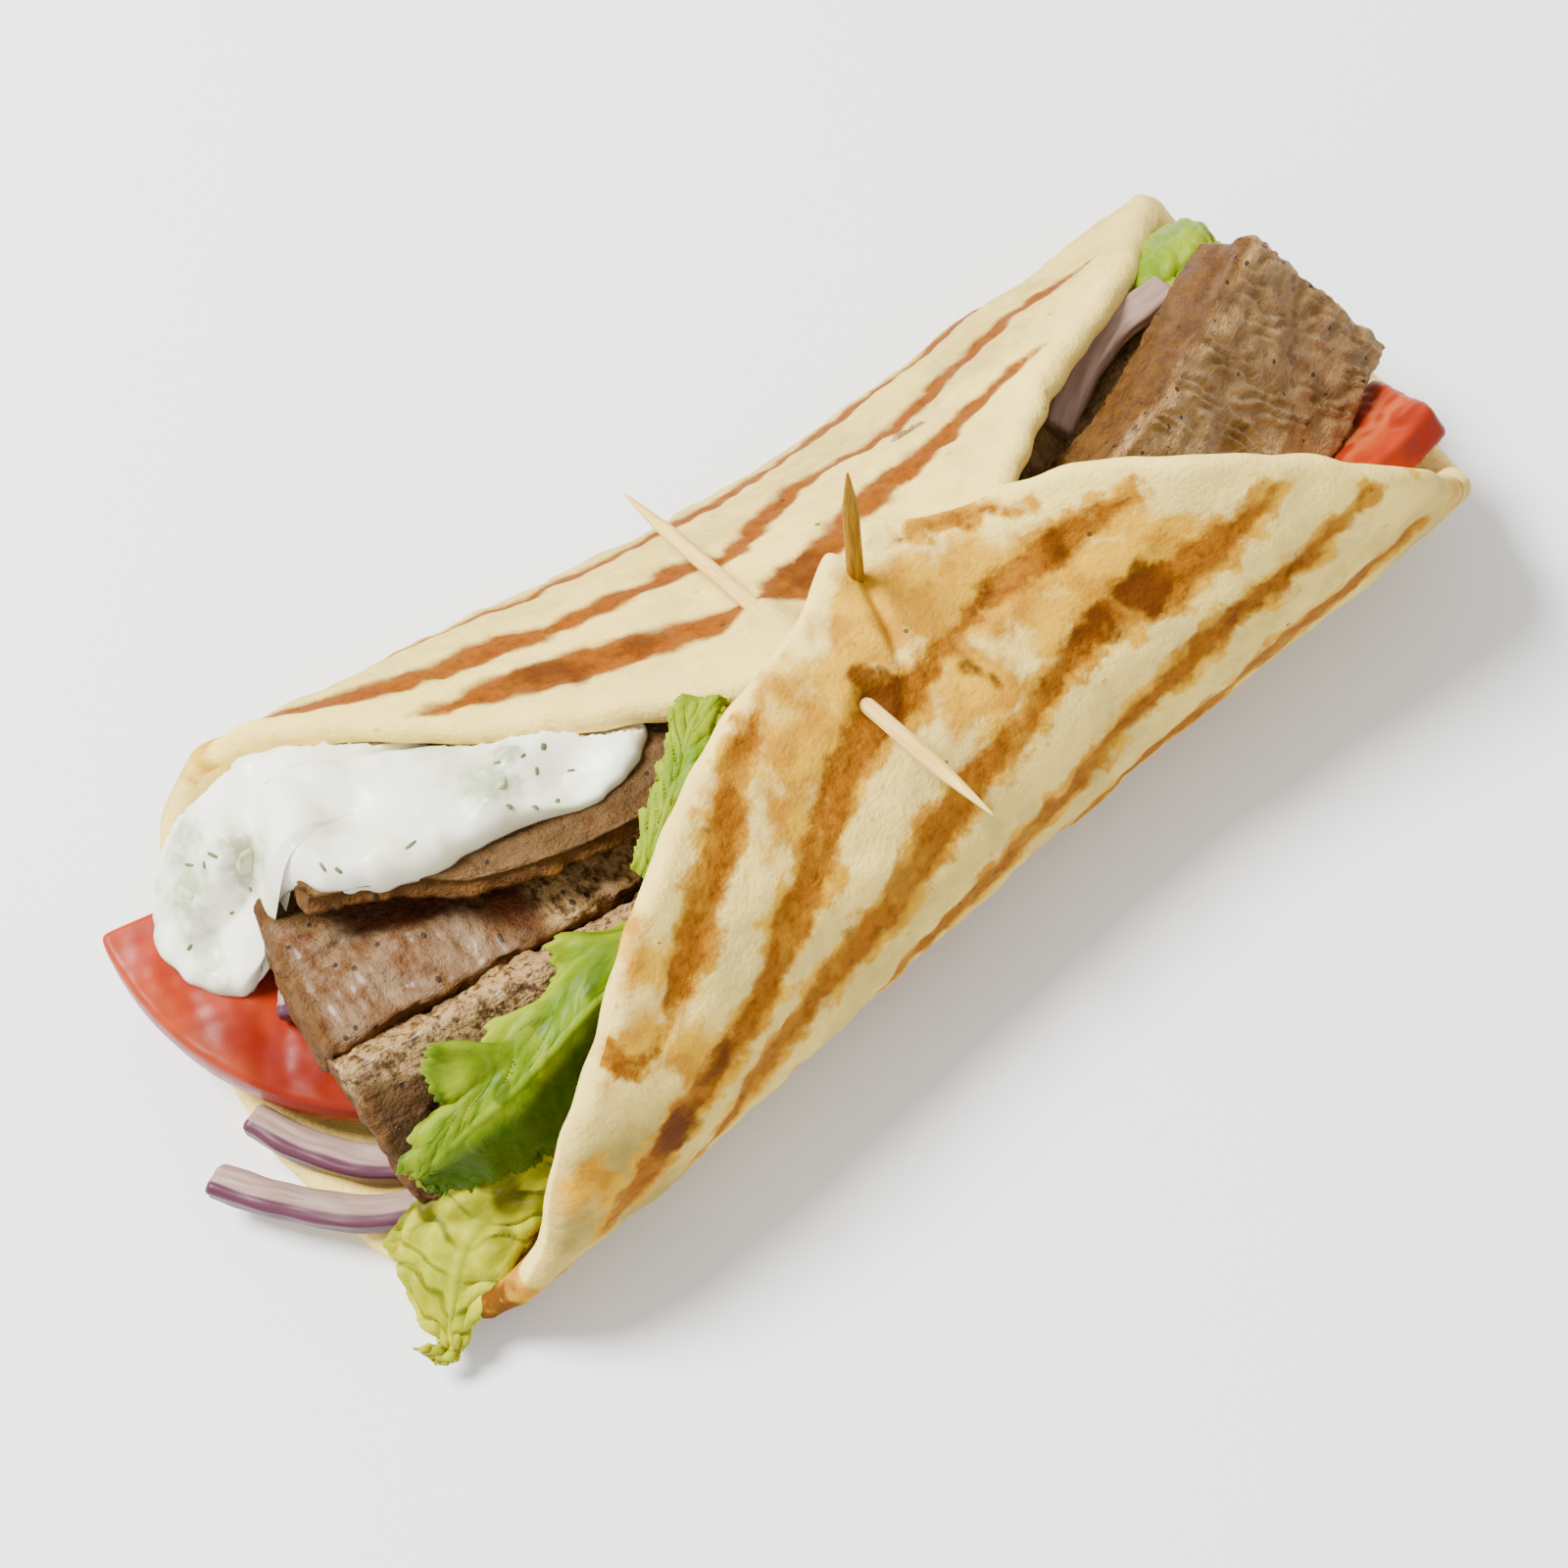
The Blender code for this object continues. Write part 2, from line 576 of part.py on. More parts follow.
if __name__ == "__main__":
    build()
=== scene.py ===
"""Gyro wrap: the look of a grilled flatbread folded over meat, salad and sauce, with two toothpicks.

X runs along the wrap, Y across it towards the covered flap, and the bread rests on Z = 0. Shapes
are worked out in millimetres and become metres when a mesh is made.
"""

import math

import bpy
import numpy as np
from mathutils import Matrix, Vector


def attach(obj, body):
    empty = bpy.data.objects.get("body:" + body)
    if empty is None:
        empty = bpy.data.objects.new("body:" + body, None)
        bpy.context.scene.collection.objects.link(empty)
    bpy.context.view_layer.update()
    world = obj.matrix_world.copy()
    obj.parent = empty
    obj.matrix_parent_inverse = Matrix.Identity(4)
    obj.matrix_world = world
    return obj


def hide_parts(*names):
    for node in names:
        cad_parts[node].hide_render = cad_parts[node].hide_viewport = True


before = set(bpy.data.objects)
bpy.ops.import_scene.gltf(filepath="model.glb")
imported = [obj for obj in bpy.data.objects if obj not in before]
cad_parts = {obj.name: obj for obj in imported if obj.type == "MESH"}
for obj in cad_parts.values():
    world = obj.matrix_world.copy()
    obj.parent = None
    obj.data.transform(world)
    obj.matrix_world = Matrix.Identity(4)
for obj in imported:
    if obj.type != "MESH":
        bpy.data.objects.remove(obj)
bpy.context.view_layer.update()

bl_info = {
    "name": "Gyro wrap",
    "version": (1, 0, 0),
    "blender": (4, 5, 0),
    "location": "3D View > Sidebar > Gyro wrap",
    "description": "Builds a grilled gyro wrap with its filling and toothpicks",
    "category": "Add Mesh",
}

MM = 0.001

# ---------------------------------------------------------------- shared shape functions


def smooth(t):
    """0 below 0, 1 above 1, and 3t^2 - 2t^3 between."""
    t = np.clip(t, 0.0, 1.0)
    return t * t * (3 - 2 * t)


def unit(vectors):
    """The vectors divided by their lengths."""
    return vectors / np.maximum(np.linalg.norm(vectors, axis=-1, keepdims=True), 1e-9)


def through(stations, values, at):
    """Smooth curve through the values at the stations: cubic pieces whose slopes match where they meet."""
    stations, values = np.asarray(stations, float), np.asarray(values, float)
    steps = np.diff(stations)
    rises = np.diff(values) / steps
    slopes = np.empty_like(values)
    slopes[0], slopes[-1] = rises[0], rises[-1]
    slopes[1:-1] = (rises[:-1] * steps[1:] + rises[1:] * steps[:-1]) / (steps[1:] + steps[:-1])
    piece = np.clip(np.searchsorted(stations, at) - 1, 0, len(steps) - 1)
    step = steps[piece]
    t = (at - stations[piece]) / step
    return (
        values[piece] * (1 + 2 * t) * (1 - t) ** 2
        + slopes[piece] * step * t * (1 - t) ** 2
        + values[piece + 1] * t * t * (3 - 2 * t)
        + slopes[piece + 1] * step * t * t * (t - 1)
    )


def curve(knots, count):
    """Evenly counted points on a smooth curve through rows of knots."""
    knots = np.asarray(knots, float)
    at = np.linspace(0, 1, count)
    return np.stack([through(np.linspace(0, 1, len(knots)), column, at) for column in knots.T], axis=-1)


def waves(points, length, seed, count=22):
    """A smooth random field between about -1 and 1.

    It is the sum of cosines of the dot products of the points with random vectors, whose lengths
    give waves of about the asked length in millimetres.
    """
    points = np.asarray(points, float)
    rng = np.random.default_rng(seed)
    ways = unit(rng.normal(size=(count, points.shape[-1])))
    numbers = 2 * math.pi / length * rng.uniform(0.6, 1.5, count)
    phases = rng.uniform(0, 2 * math.pi, count)
    return np.cos(points @ (ways * numbers[:, None]).T + phases).sum(axis=-1) / math.sqrt(1.4 * count)


def discs(points, spots):
    """How far inside the nearest of many discs each point lies: the largest of radius minus distance.

    Spots are rows of (position..., radius).
    """
    best = np.full(points.shape[:-1], -1e3)
    for *centre, radius in spots:
        best = np.maximum(best, radius - np.linalg.norm(points - np.array(centre), axis=-1))
    return best


def grid_faces(rows, columns, closed=False, start=0):
    """Quads between neighbouring points of a grid stored row after row."""
    row = np.arange(rows - 1)[:, None] * columns
    column = np.arange(columns if closed else columns - 1)[None, :]
    right = (column + 1) % columns
    corners = (row + column, row + right, row + columns + right, row + columns + column)
    return start + np.stack(corners, axis=-1).reshape(-1, 4)


def fan_faces(centre, start, columns):
    """Triangles from one point to a closed ring of points."""
    k = np.arange(columns)
    return np.stack([np.full(columns, centre), start + (k + 1) % columns, start + k], axis=-1)


def closed_form(rings, first, last):
    """Points and faces of a closed form from rings of points and the points that close its two ends."""
    count, around = rings.shape[:2]
    points = np.concatenate([rings.reshape(-1, 3), first[None], last[None]])
    faces = [
        grid_faces(count, around, closed=True),
        fan_faces(count * around, 0, around),
        fan_faces(count * around + 1, (count - 1) * around, around)[:, ::-1],
    ]
    return points, faces


def volume(points, faces):
    """Signed volume: a sixth of the sum of the triple products of each triangle's corners."""
    total = 0.0
    for part in faces:
        for k in range(1, part.shape[1] - 1):
            a, b, c = (points[part[:, i]] for i in (0, k, k + 1))
            total += np.einsum("ij,ij->", a, np.cross(b, c)) / 6
    return total


def piece(name, node, slot, points, faces, finish, **layers):
    """A closed mesh in the row frame, with its faces turned outwards and its layers as attributes."""
    solid = volume(points, faces)
    if not np.isfinite(solid) or abs(solid) < 1e-3:
        raise RuntimeError(f"{name} does not close round a volume: its sizes do not fit together")
    if solid < 0:
        faces = [part[:, ::-1] for part in faces]
    mesh = bpy.data.meshes.new(name)
    corners = np.concatenate([part.ravel() for part in faces]).astype(np.int32)
    sizes = np.concatenate([np.full(len(part), part.shape[1]) for part in faces])
    mesh.vertices.add(len(points))
    mesh.vertices.foreach_set("co", (np.asarray(points, float) * MM).ravel())
    mesh.loops.add(len(corners))
    mesh.loops.foreach_set("vertex_index", corners)
    mesh.polygons.add(len(sizes))
    mesh.polygons.foreach_set("loop_start", (np.cumsum(sizes) - sizes).astype(np.int32))
    mesh.update(calc_edges=True)
    if mesh.validate():
        raise RuntimeError(f"{name} has faces that do not hold together")
    for label, values in layers.items():
        values = np.asarray(values, float)
        vector = values.ndim == 2
        layer = mesh.attributes.new(label, "FLOAT_VECTOR" if vector else "FLOAT", "POINT")
        layer.data.foreach_set("vector" if vector else "value", values.ravel())
    mesh.materials.append(finish)
    mesh.shade_smooth()
    made = bpy.data.objects.new(name, mesh)
    bpy.context.scene.collection.objects.link(made)
    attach(made, "root")
    if node:
        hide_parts(node)
    return made


# ---------------------------------------------------------------- materials


class Finish:
    """A material being put together: its Principled shader, and short ways to add and join nodes."""

    def __init__(self, name, **constants):
        """Starts a material with these constants on its shader's own sockets."""
        self.material = bpy.data.materials.new(name)
        self.material.use_nodes = True
        self.tree = self.material.node_tree
        self.shader = self.tree.nodes["Principled BSDF"]
        for socket, value in constants.items():
            self.shader.inputs[socket.replace("_", " ")].default_value = value

    def put(self, socket, value):
        """Links a socket to another node's output, or sets its value."""
        if isinstance(value, bpy.types.NodeSocket):
            self.tree.links.new(value, socket)
        elif isinstance(value, tuple) and len(value) == 3 and socket.type == "RGBA":
            socket.default_value = (*value, 1.0)
        else:
            socket.default_value = value

    def node(self, kind, inputs=(), **settings):
        """A new node with its settings made and its inputs set or linked."""
        made = self.tree.nodes.new(kind)
        for key, value in settings.items():
            setattr(made, key, value)
        for key, value in dict(inputs).items():
            self.put(made.inputs[key], value)
        return made

    def layer(self, name, vector=False):
        """One of the piece's own attributes."""
        made = self.node("ShaderNodeAttribute", attribute_name=name)
        return made.outputs["Vector" if vector else "Fac"]

    def place(self):
        """Object coordinates, in metres."""
        return self.node("ShaderNodeTexCoord").outputs["Object"]

    def noise(self, vector, scale, detail=3.0, roughness=0.55):
        """Cloudy noise between 0 and 1, with about that many waves in a unit of the vector."""
        inputs = {"Vector": vector, "Scale": scale, "Detail": detail, "Roughness": roughness}
        return self.node("ShaderNodeTexNoise", inputs).outputs["Fac"]

    def sum(self, first, second, operation="ADD"):
        """Two values added, or joined by another operation."""
        return self.node("ShaderNodeMath", {0: first, 1: second}, operation=operation).outputs[0]

    def sum_vector(self, vector, shift):
        """The vector with the same amount added to each of its parts."""
        inputs = {0: vector, 1: (shift, shift, shift)}
        return self.node("ShaderNodeVectorMath", inputs, operation="ADD").outputs[0]

    def span(self, value, low, high, start=0.0, end=1.0):
        """Value from low to high, carried smoothly to start to end."""
        inputs = {"Value": value, "From Min": low, "From Max": high, "To Min": start, "To Max": end}
        return self.node("ShaderNodeMapRange", inputs, interpolation_type="SMOOTHSTEP").outputs["Result"]

    def mix(self, amount, first, second):
        """The first colour where the amount is 0, the second where it is 1."""
        inputs = {"Factor": amount, 6: first, 7: second}
        return self.node("ShaderNodeMix", inputs, data_type="RGBA").outputs[2]

    def group(self, tree, output, **inputs):
        """An output of a shared node group used here with these inputs."""
        made = self.node("ShaderNodeGroup", node_tree=tree)
        for key, value in inputs.items():
            self.put(made.inputs[key], value)
        return made.outputs[output]

    def done(self, colour, roughness=None, height=None, strength=0.5, distance=0.001, coat=None):
        """Links the finished values to the shader, the height by way of a bump, and gives the material."""
        self.put(self.shader.inputs["Base Color"], colour)
        if roughness is not None:
            self.put(self.shader.inputs["Roughness"], roughness)
        if coat is not None:
            self.put(self.shader.inputs["Coat Weight"], coat)
        if height is not None:
            bump = self.node("ShaderNodeBump", {"Height": height, "Strength": strength, "Distance": distance})
            self.put(self.shader.inputs["Normal"], bump.outputs["Normal"])
        return self.material


def effect(name, sockets, build):
    """A shader node group: sockets are (name, in or out, kind, default), and build fills it."""
    tree = bpy.data.node_groups.new(name, "ShaderNodeTree")
    for label, way, kind, default in sockets:
        socket = tree.interface.new_socket(label, in_out=way, socket_type=kind)
        if default is not None:
            socket.default_value = default
    inside, outside = tree.nodes.new("NodeGroupInput"), tree.nodes.new("NodeGroupOutput")
    build(tree, inside, outside)
    return tree


def tinted(colour, *factors):
    """A colour with its red, green and blue each multiplied by a factor."""
    return tuple(min(part * factor, 1.0) for part, factor in zip(colour, factors))


def mottling():
    """Soft patches over fine grain: two noises of one vector, mixed and sharpened about a half."""

    def build(tree, inside, outside):
        """Joins the two noises and sharpens their mix."""
        coarse = tree.nodes.new("ShaderNodeTexNoise")
        fine = tree.nodes.new("ShaderNodeTexNoise")
        larger = tree.nodes.new("ShaderNodeMath")
        larger.operation = "MULTIPLY"
        larger.inputs[1].default_value = 4.7
        blend = tree.nodes.new("ShaderNodeMix")
        blend.inputs["Factor"].default_value = 0.38
        sharpen = tree.nodes.new("ShaderNodeMapRange")
        sharpen.interpolation_type = "SMOOTHSTEP"
        sharpen.inputs["From Min"].default_value = 0.36
        sharpen.inputs["From Max"].default_value = 0.64
        coarse.inputs["Detail"].default_value = 2.0
        fine.inputs["Detail"].default_value = 4.0
        link = tree.links.new
        link(inside.outputs["Vector"], coarse.inputs["Vector"])
        link(inside.outputs["Vector"], fine.inputs["Vector"])
        link(inside.outputs["Scale"], coarse.inputs["Scale"])
        link(inside.outputs["Scale"], larger.inputs[0])
        link(larger.outputs[0], fine.inputs["Scale"])
        link(coarse.outputs["Fac"], blend.inputs[2])
        link(fine.outputs["Fac"], blend.inputs[3])
        link(blend.outputs[0], sharpen.inputs["Value"])
        link(sharpen.outputs["Result"], outside.inputs["Mask"])

    sockets = (
        ("Vector", "INPUT", "NodeSocketVector", None),
        ("Scale", "INPUT", "NodeSocketFloat", 100.0),
        ("Mask", "OUTPUT", "NodeSocketFloat", None),
    )
    return effect("Mottling", sockets, build)


def specks():
    """Scattered dots: cells whose random value passes the share show a spot of the given size."""

    def build(tree, inside, outside):
        """Joins the cells with their size and their share."""
        cells = tree.nodes.new("ShaderNodeTexVoronoi")
        near = tree.nodes.new("ShaderNodeMath")
        near.operation = "LESS_THAN"
        chosen = tree.nodes.new("ShaderNodeMath")
        chosen.operation = "LESS_THAN"
        apart = tree.nodes.new("ShaderNodeSeparateColor")
        both = tree.nodes.new("ShaderNodeMath")
        both.operation = "MULTIPLY"
        link = tree.links.new
        link(inside.outputs["Vector"], cells.inputs["Vector"])
        link(inside.outputs["Scale"], cells.inputs["Scale"])
        link(cells.outputs["Distance"], near.inputs[0])
        link(inside.outputs["Size"], near.inputs[1])
        link(cells.outputs["Color"], apart.inputs["Color"])
        link(apart.outputs["Red"], chosen.inputs[0])
        link(inside.outputs["Share"], chosen.inputs[1])
        link(near.outputs[0], both.inputs[0])
        link(chosen.outputs[0], both.inputs[1])
        link(both.outputs[0], outside.inputs["Mask"])

    sockets = (
        ("Vector", "INPUT", "NodeSocketVector", None),
        ("Scale", "INPUT", "NodeSocketFloat", 400.0),
        ("Size", "INPUT", "NodeSocketFloat", 0.2),
        ("Share", "INPUT", "NodeSocketFloat", 0.3),
        ("Mask", "OUTPUT", "NodeSocketFloat", None),
    )
    return effect("Specks", sockets, build)


def shared(name, make):
    """The node group of that name, made once."""
    return bpy.data.node_groups.get(name) or make()


# ---------------------------------------------------------------- flatbread

BREAD_RADIUS = 89.0
BREAD_SHIFT = -2.5
BREAD_STRETCH = 1.02
BREAD_SAG = 4.0
STATIONS = (-1.0, -0.62, -0.25, 0.12, 0.55, 1.0)
NEAR_FLAP = {
    "flat": (17, 16, 16, 16, 13, 7),
    "bend": (37, 48, 54, 56, 57, 56),
    "turn": (127, 128, 142, 146, 120, 95),
    "lip": (0, 4, 16, 18, 8, 0),
    "lip_start": 66,
    "lip_length": 28,
}
FAR_FLAP = {
    "flat": (23, 20, 15, 12, 12, 13),
    "bend": (63, 53, 42, 33, 30, 27),
    "turn": (136, 161, 150, 139, 134, 126),
    "lip": (0, 4, 20, 41, 18, 0),
    "lip_start": 54,
    "lip_length": 30,
}
# Uneven outline: direction and half-width in degrees, and growth as a share of the radius.
OUTLINE_BUMPS = ((64, 22, -0.085), (110, 18, -0.02), (285, 20, 0.012), (332, 16, -0.025), (272.2, 5.2, 0.047))
NOTCH = (271.5, 0.6, -0.047)
# The far flap's pucker round the toothpick that lies across.
PUCKER_AT = -7.7
PUCKER_WIDTH = 3.4
PUCKER_START = 70.5
PUCKER_RUN = 4.5
PUCKER_HEIGHT = 3.3

# Grill marks on the flat disc: knots of (u along the wrap, v across it, half-width), in millimetres.
GRILL_MARKS = (
    ((-20, -87.5, 0.6), (-25.7, -85.5, 1.8), (-32, -80.5, 2.4), (-38.8, -76.6, 2.4), (-45.5, -72, 2.1),
     (-49, -70, 0.9)),
    ((31.5, -83.3, 0.5), (22.5, -82.3, 2.4), (15, -81.7, 2.2), (8.8, -81, 1.2), (1.3, -79.4, 1.5),
     (-4.5, -78.4, 2.6), (-8, -79, 2.8), (-14.3, -77, 2.7), (-19.6, -74.2, 2.4), (-26.5, -69.4, 2.4),
     (-33.2, -66, 2.3), (-38.8, -62.3, 1.9), (-45.6, -59.4, 2.1), (-52, -57, 2.3), (-57.5, -54, 2.4),
     (-65, -49, 1.9), (-69, -46, 0.5)),
    ((46.5, -76.2, 0.3), (41.4, -74.4, 1.4), (31, -71.6, 3.1), (23, -71.4, 3.0), (15.3, -70, 1.9),
     (5.4, -66.8, 1.8), (-2.2, -65.3, 2.2), (-9.9, -62.9, 2.5), (-17.7, -60.2, 2.4),
     (-25.5, -58.2, 2.2), (-34, -56.5, 1.9), (-41.3, -53.6, 1.8), (-47, -50, 1.4), (-54, -45, 1.0)),
    ((56, -67.8, 0.8), (52, -66.5, 1.2), (46, -64.8, 1.5), (34.6, -62.4, 1.9), (26, -60.3, 1.6),
     (17.3, -58, 1.6), (10, -55.2, 1.5), (1.8, -53.2, 1.8), (-5, -51.3, 1.5), (-12, -49.6, 1.8),
     (-20, -47.4, 1.5), (-30, -44.6, 1.2), (-40, -41, 0.5)),
    ((64, -54.5, 0.6), (56, -53.2, 1.8), (44.5, -52.4, 2.2), (35, -50.5, 2.4), (27, -48.2, 2.2),
     (16.5, -45.8, 2.2), (5, -43.5, 2.0), (-8, -40.5, 1.8), (-22, -37, 0.8)),
    ((-56.9, -72.5, 0.4), (-57.8, -68.5, 1.0), (-57, -66, 1.1), (-54.7, -66.2, 0.9), (-50, -68, 0.5)),
    ((8, -93.5, 0.4), (12.5, -92.3, 1.1), (17, -90.2, 0.9), (22, -87.7, 0.4)),
    ((-45.8, 70.6, 0.4), (-41, 70.4, 1.4), (-35, 69.6, 2.7), (-29, 70.2, 3.3), (-22.5, 70.9, 3.0),
     (-16.5, 71.9, 2.5), (-11, 73, 2.3), (-8.2, 73.2, 1.6)),
    ((-6.6, 73.2, 1.0), (-4, 72.6, 2.6), (-1, 71.6, 3.4), (2.5, 70.2, 2.6), (6.5, 68.4, 1.8),
     (11.2, 66.4, 2.2), (20.3, 65.1, 2.2), (29.5, 63.8, 1.9), (38.3, 63.6, 1.3), (44.5, 63.2, 0.4)),
    ((-61, 54.5, 0.6), (-58, 58, 1.4), (-53.5, 62, 2.0), (-48, 63, 2.4), (-42, 62.8, 2.2),
     (-38, 62.4, 2.0), (-31, 61.2, 2.5), (-25, 61.6, 1.7), (-18.5, 61, 2.0), (-12, 60.2, 2.1),
     (-7.5, 59, 2.4), (-4, 61.3, 1.2), (-1.5, 60.3, 1.7), (2.5, 57.6, 2.0), (9.7, 54.2, 1.7),
     (15.3, 53.9, 1.4), (27.7, 53.6, 1.7), (42.5, 50.3, 1.7), (51.2, 49.2, 1.6), (59, 49.8, 1.1),
     (62, 50.2, 0.5)),
    ((-52, 51.5, 0.6), (-42, 52, 1.3), (-29, 51.5, 1.4), (-22.5, 51.6, 1.1), (-15, 49, 1.3),
     (-6.5, 47.2, 1.4), (4.5, 45, 1.8), (11, 43, 1.4), (23, 40, 1.7), (35.5, 38.5, 1.7),
     (46, 37.5, 1.4), (56, 36.5, 0.6)),
    ((-58, 38, 0.6), (-30, 36, 1.6), (0, 32, 1.8), (28, 28, 1.6), (54, 25, 0.8)),
    ((-66, 24, 0.6), (-30, 24, 1.8), (0, 22, 1.8), (30, 20, 1.8), (64, 17, 0.8)),
    ((-70, 12, 0.6), (-34, 10, 1.8), (0, 8, 1.8), (34, 6, 1.8), (70, 3, 0.8)),
    ((-72, -2, 0.6), (-34, -4, 1.8), (0, -6, 1.8), (34, -8, 1.8), (72, -11, 0.8)),
    ((-70, -16, 0.6), (-34, -18, 1.8), (0, -20, 1.8), (34, -22, 1.8), (70, -25, 0.8)),
    ((-66, -30, 0.6), (-34, -32, 1.6), (0, -33, 1.6), (34, -35, 1.6), (66, -38, 0.8)),
)
# Dark toasted spots and broad golden patches on the flat disc: (u, v, radius).
CHAR_SPOTS = (
    (11.3, -83.0, 1.9), (22, -81.5, 3.2), (27, -72.5, 4.0), (-5.5, -80.0, 4.2), (3.4, -75.0, 2.6),
    (20, -71, 2.4), (-0.5, 71.2, 3.4), (-30, 70, 3.2), (-20, 71, 2.0), (14, -70, 1.6), (-4.5, -87, 1.0),
    (45, -64.6, 1.4), (-56, -54, 3.5), (-48, -58, 2.5), (-85, -33, 9.0), (36, -63, 1.6), (10, -68, 1.5),
)
GOLD_PATCHES = (
    (-2, -88, 6.5), (5, -86, 5.5), (-8, -84, 6.0), (12, -83, 6.5), (22, -78, 6.5), (30, -76, 6.0),
    (-18, -82, 6.0), (3, -74, 6.0), (-24, -76, 5.0), (16, -75, 5.0), (-14, -88, 3.5), (-48, -76, 4.0),
    (-56, -69, 4.0), (-50, -63, 4.0), (-68, -55, 3.5), (-80, -33, 9.5), (-64, 55, 3.0), (66, -66, 3.0),
    (72, -54, 3.0),
)


def eased(t):
    """Share of a bend's turn reached at share t of its length: tightest half way along."""
    t = np.clip(t, 0.0, 1.0)
    return 0.5 * t + 0.5 * t * t * (3 - 2 * t)


def bread_surface(u, v, depth):
    """The point at (u, v) on the flat disc after folding, depth millimetres in from its outer face.

    Across the wrap the bread keeps its length: its angle to the table grows with the distance
    from the middle, and height and width are the sums of its sine and cosine along the way.
    """
    share = np.clip(u / BREAD_RADIUS, -1.0, 1.0)
    far = v >= 0

    def of_flap(key):
        """A flap's value along the wrap, from the flap that each point is on."""
        near_far = [through(STATIONS, flap[key], share) for flap in (FAR_FLAP, NEAR_FLAP)]
        return np.where(far, *near_far)[..., None]

    flat, bend, turn, lip = (of_flap(key) for key in ("flat", "bend", "turn", "lip"))
    lip_start = np.where(far, FAR_FLAP["lip_start"], NEAR_FLAP["lip_start"])[..., None]
    lip_length = np.where(far, FAR_FLAP["lip_length"], NEAR_FLAP["lip_length"])[..., None]

    def angle(arc):
        """Angle to the table at a distance along the bread: the eased bend plus the eased lip."""
        return np.radians(turn * eased((arc - flat) / bend) + lip * eased((arc - lip_start) / lip_length))

    arc = np.abs(v)[..., None]
    steps = 40
    along = angle(arc * (np.arange(steps) + 0.5) / steps)
    across = np.cos(along).mean(-1) * arc[..., 0]
    height = np.sin(along).mean(-1) * arc[..., 0]
    end = angle(arc)[..., 0]
    side = np.where(far, 1.0, -1.0)
    y = side * across - BREAD_SAG * share**2 - side * np.sin(end) * depth
    return np.stack([u, y, height + np.cos(end) * depth], axis=-1)


def bread_rim(direction, inset):
    """Flat coordinates of the disc's uneven outline in a direction in degrees, inset from the edge."""
    size = np.ones_like(direction)
    for centre, half_width, growth in (*OUTLINE_BUMPS, NOTCH):
        off = (direction - centre + 180.0) % 360.0 - 180.0
        size += growth * np.exp(-((off / half_width) ** 2))
    turn = np.radians(direction)
    round_trip = 90 * np.stack([np.cos(turn), np.sin(turn)], axis=-1)
    size += (0.5 * waves(round_trip, 34, 3) + 0.22 * waves(round_trip, 9, 4)) / BREAD_RADIUS
    u = (BREAD_RADIUS * size - inset) * np.cos(turn)
    v = BREAD_SHIFT + (BREAD_RADIUS * BREAD_STRETCH * size - inset) * np.sin(turn)
    return u, v


def grill_field(flat):
    """How far inside the nearest grill mark each flat point lies, in millimetres."""
    field = np.full(flat.shape[:-1], -30.0)
    flat = flat + 0.45 * np.stack([waves(flat, 5, 75), waves(flat, 5, 76)], axis=-1)
    for mark in GRILL_MARKS:
        line = curve(mark, 12 * len(mark))
        reach = line[:, 2].max() + 6
        low, high = line[:, :2].min(0) - reach, line[:, :2].max(0) + reach
        near = np.all((flat > low) & (flat < high), axis=-1)
        field[near] = np.maximum(field[near], discs(flat[near], line))
    return field


def pucker(u, v):
    """How far the far flap lifts round the toothpick: a bell across u that rises with v."""
    bell = np.exp(-(((u - PUCKER_AT) / PUCKER_WIDTH) ** 2))
    return PUCKER_HEIGHT * (bell * smooth((v - PUCKER_START) / PUCKER_RUN))


def bread_relief(flat, grill):
    """Height of the outer face above its plain fold, in millimetres: dents, grooves and toothpick puckers."""
    u, v = flat[..., 0], flat[..., 1]
    height = 0.34 * waves(flat, 24, 11) + 0.20 * waves(flat, 9, 12) + 0.07 * waves(flat, 3.6, 13)
    height -= 0.32 * smooth(0.5 + grill / 1.6)
    height += pucker(u, v)
    dimple = np.hypot(u + 8.7, v + 80.0)
    height += 0.5 * np.exp(-(((dimple - 3.2) / 1.6) ** 2)) - 1.3 * np.exp(-((dimple / 1.8) ** 2))
    inward = -v - 78.0
    lobe = np.exp(-(((u + 1.8) / 2.4) ** 2)) * smooth((inward + 2) / 12)
    crease = np.exp(-(((u - 1.8 + 0.35 * (14 - inward)) / 0.9) ** 2)) * smooth(inward / 8)
    return height + 1.1 * lobe - 1.5 * crease


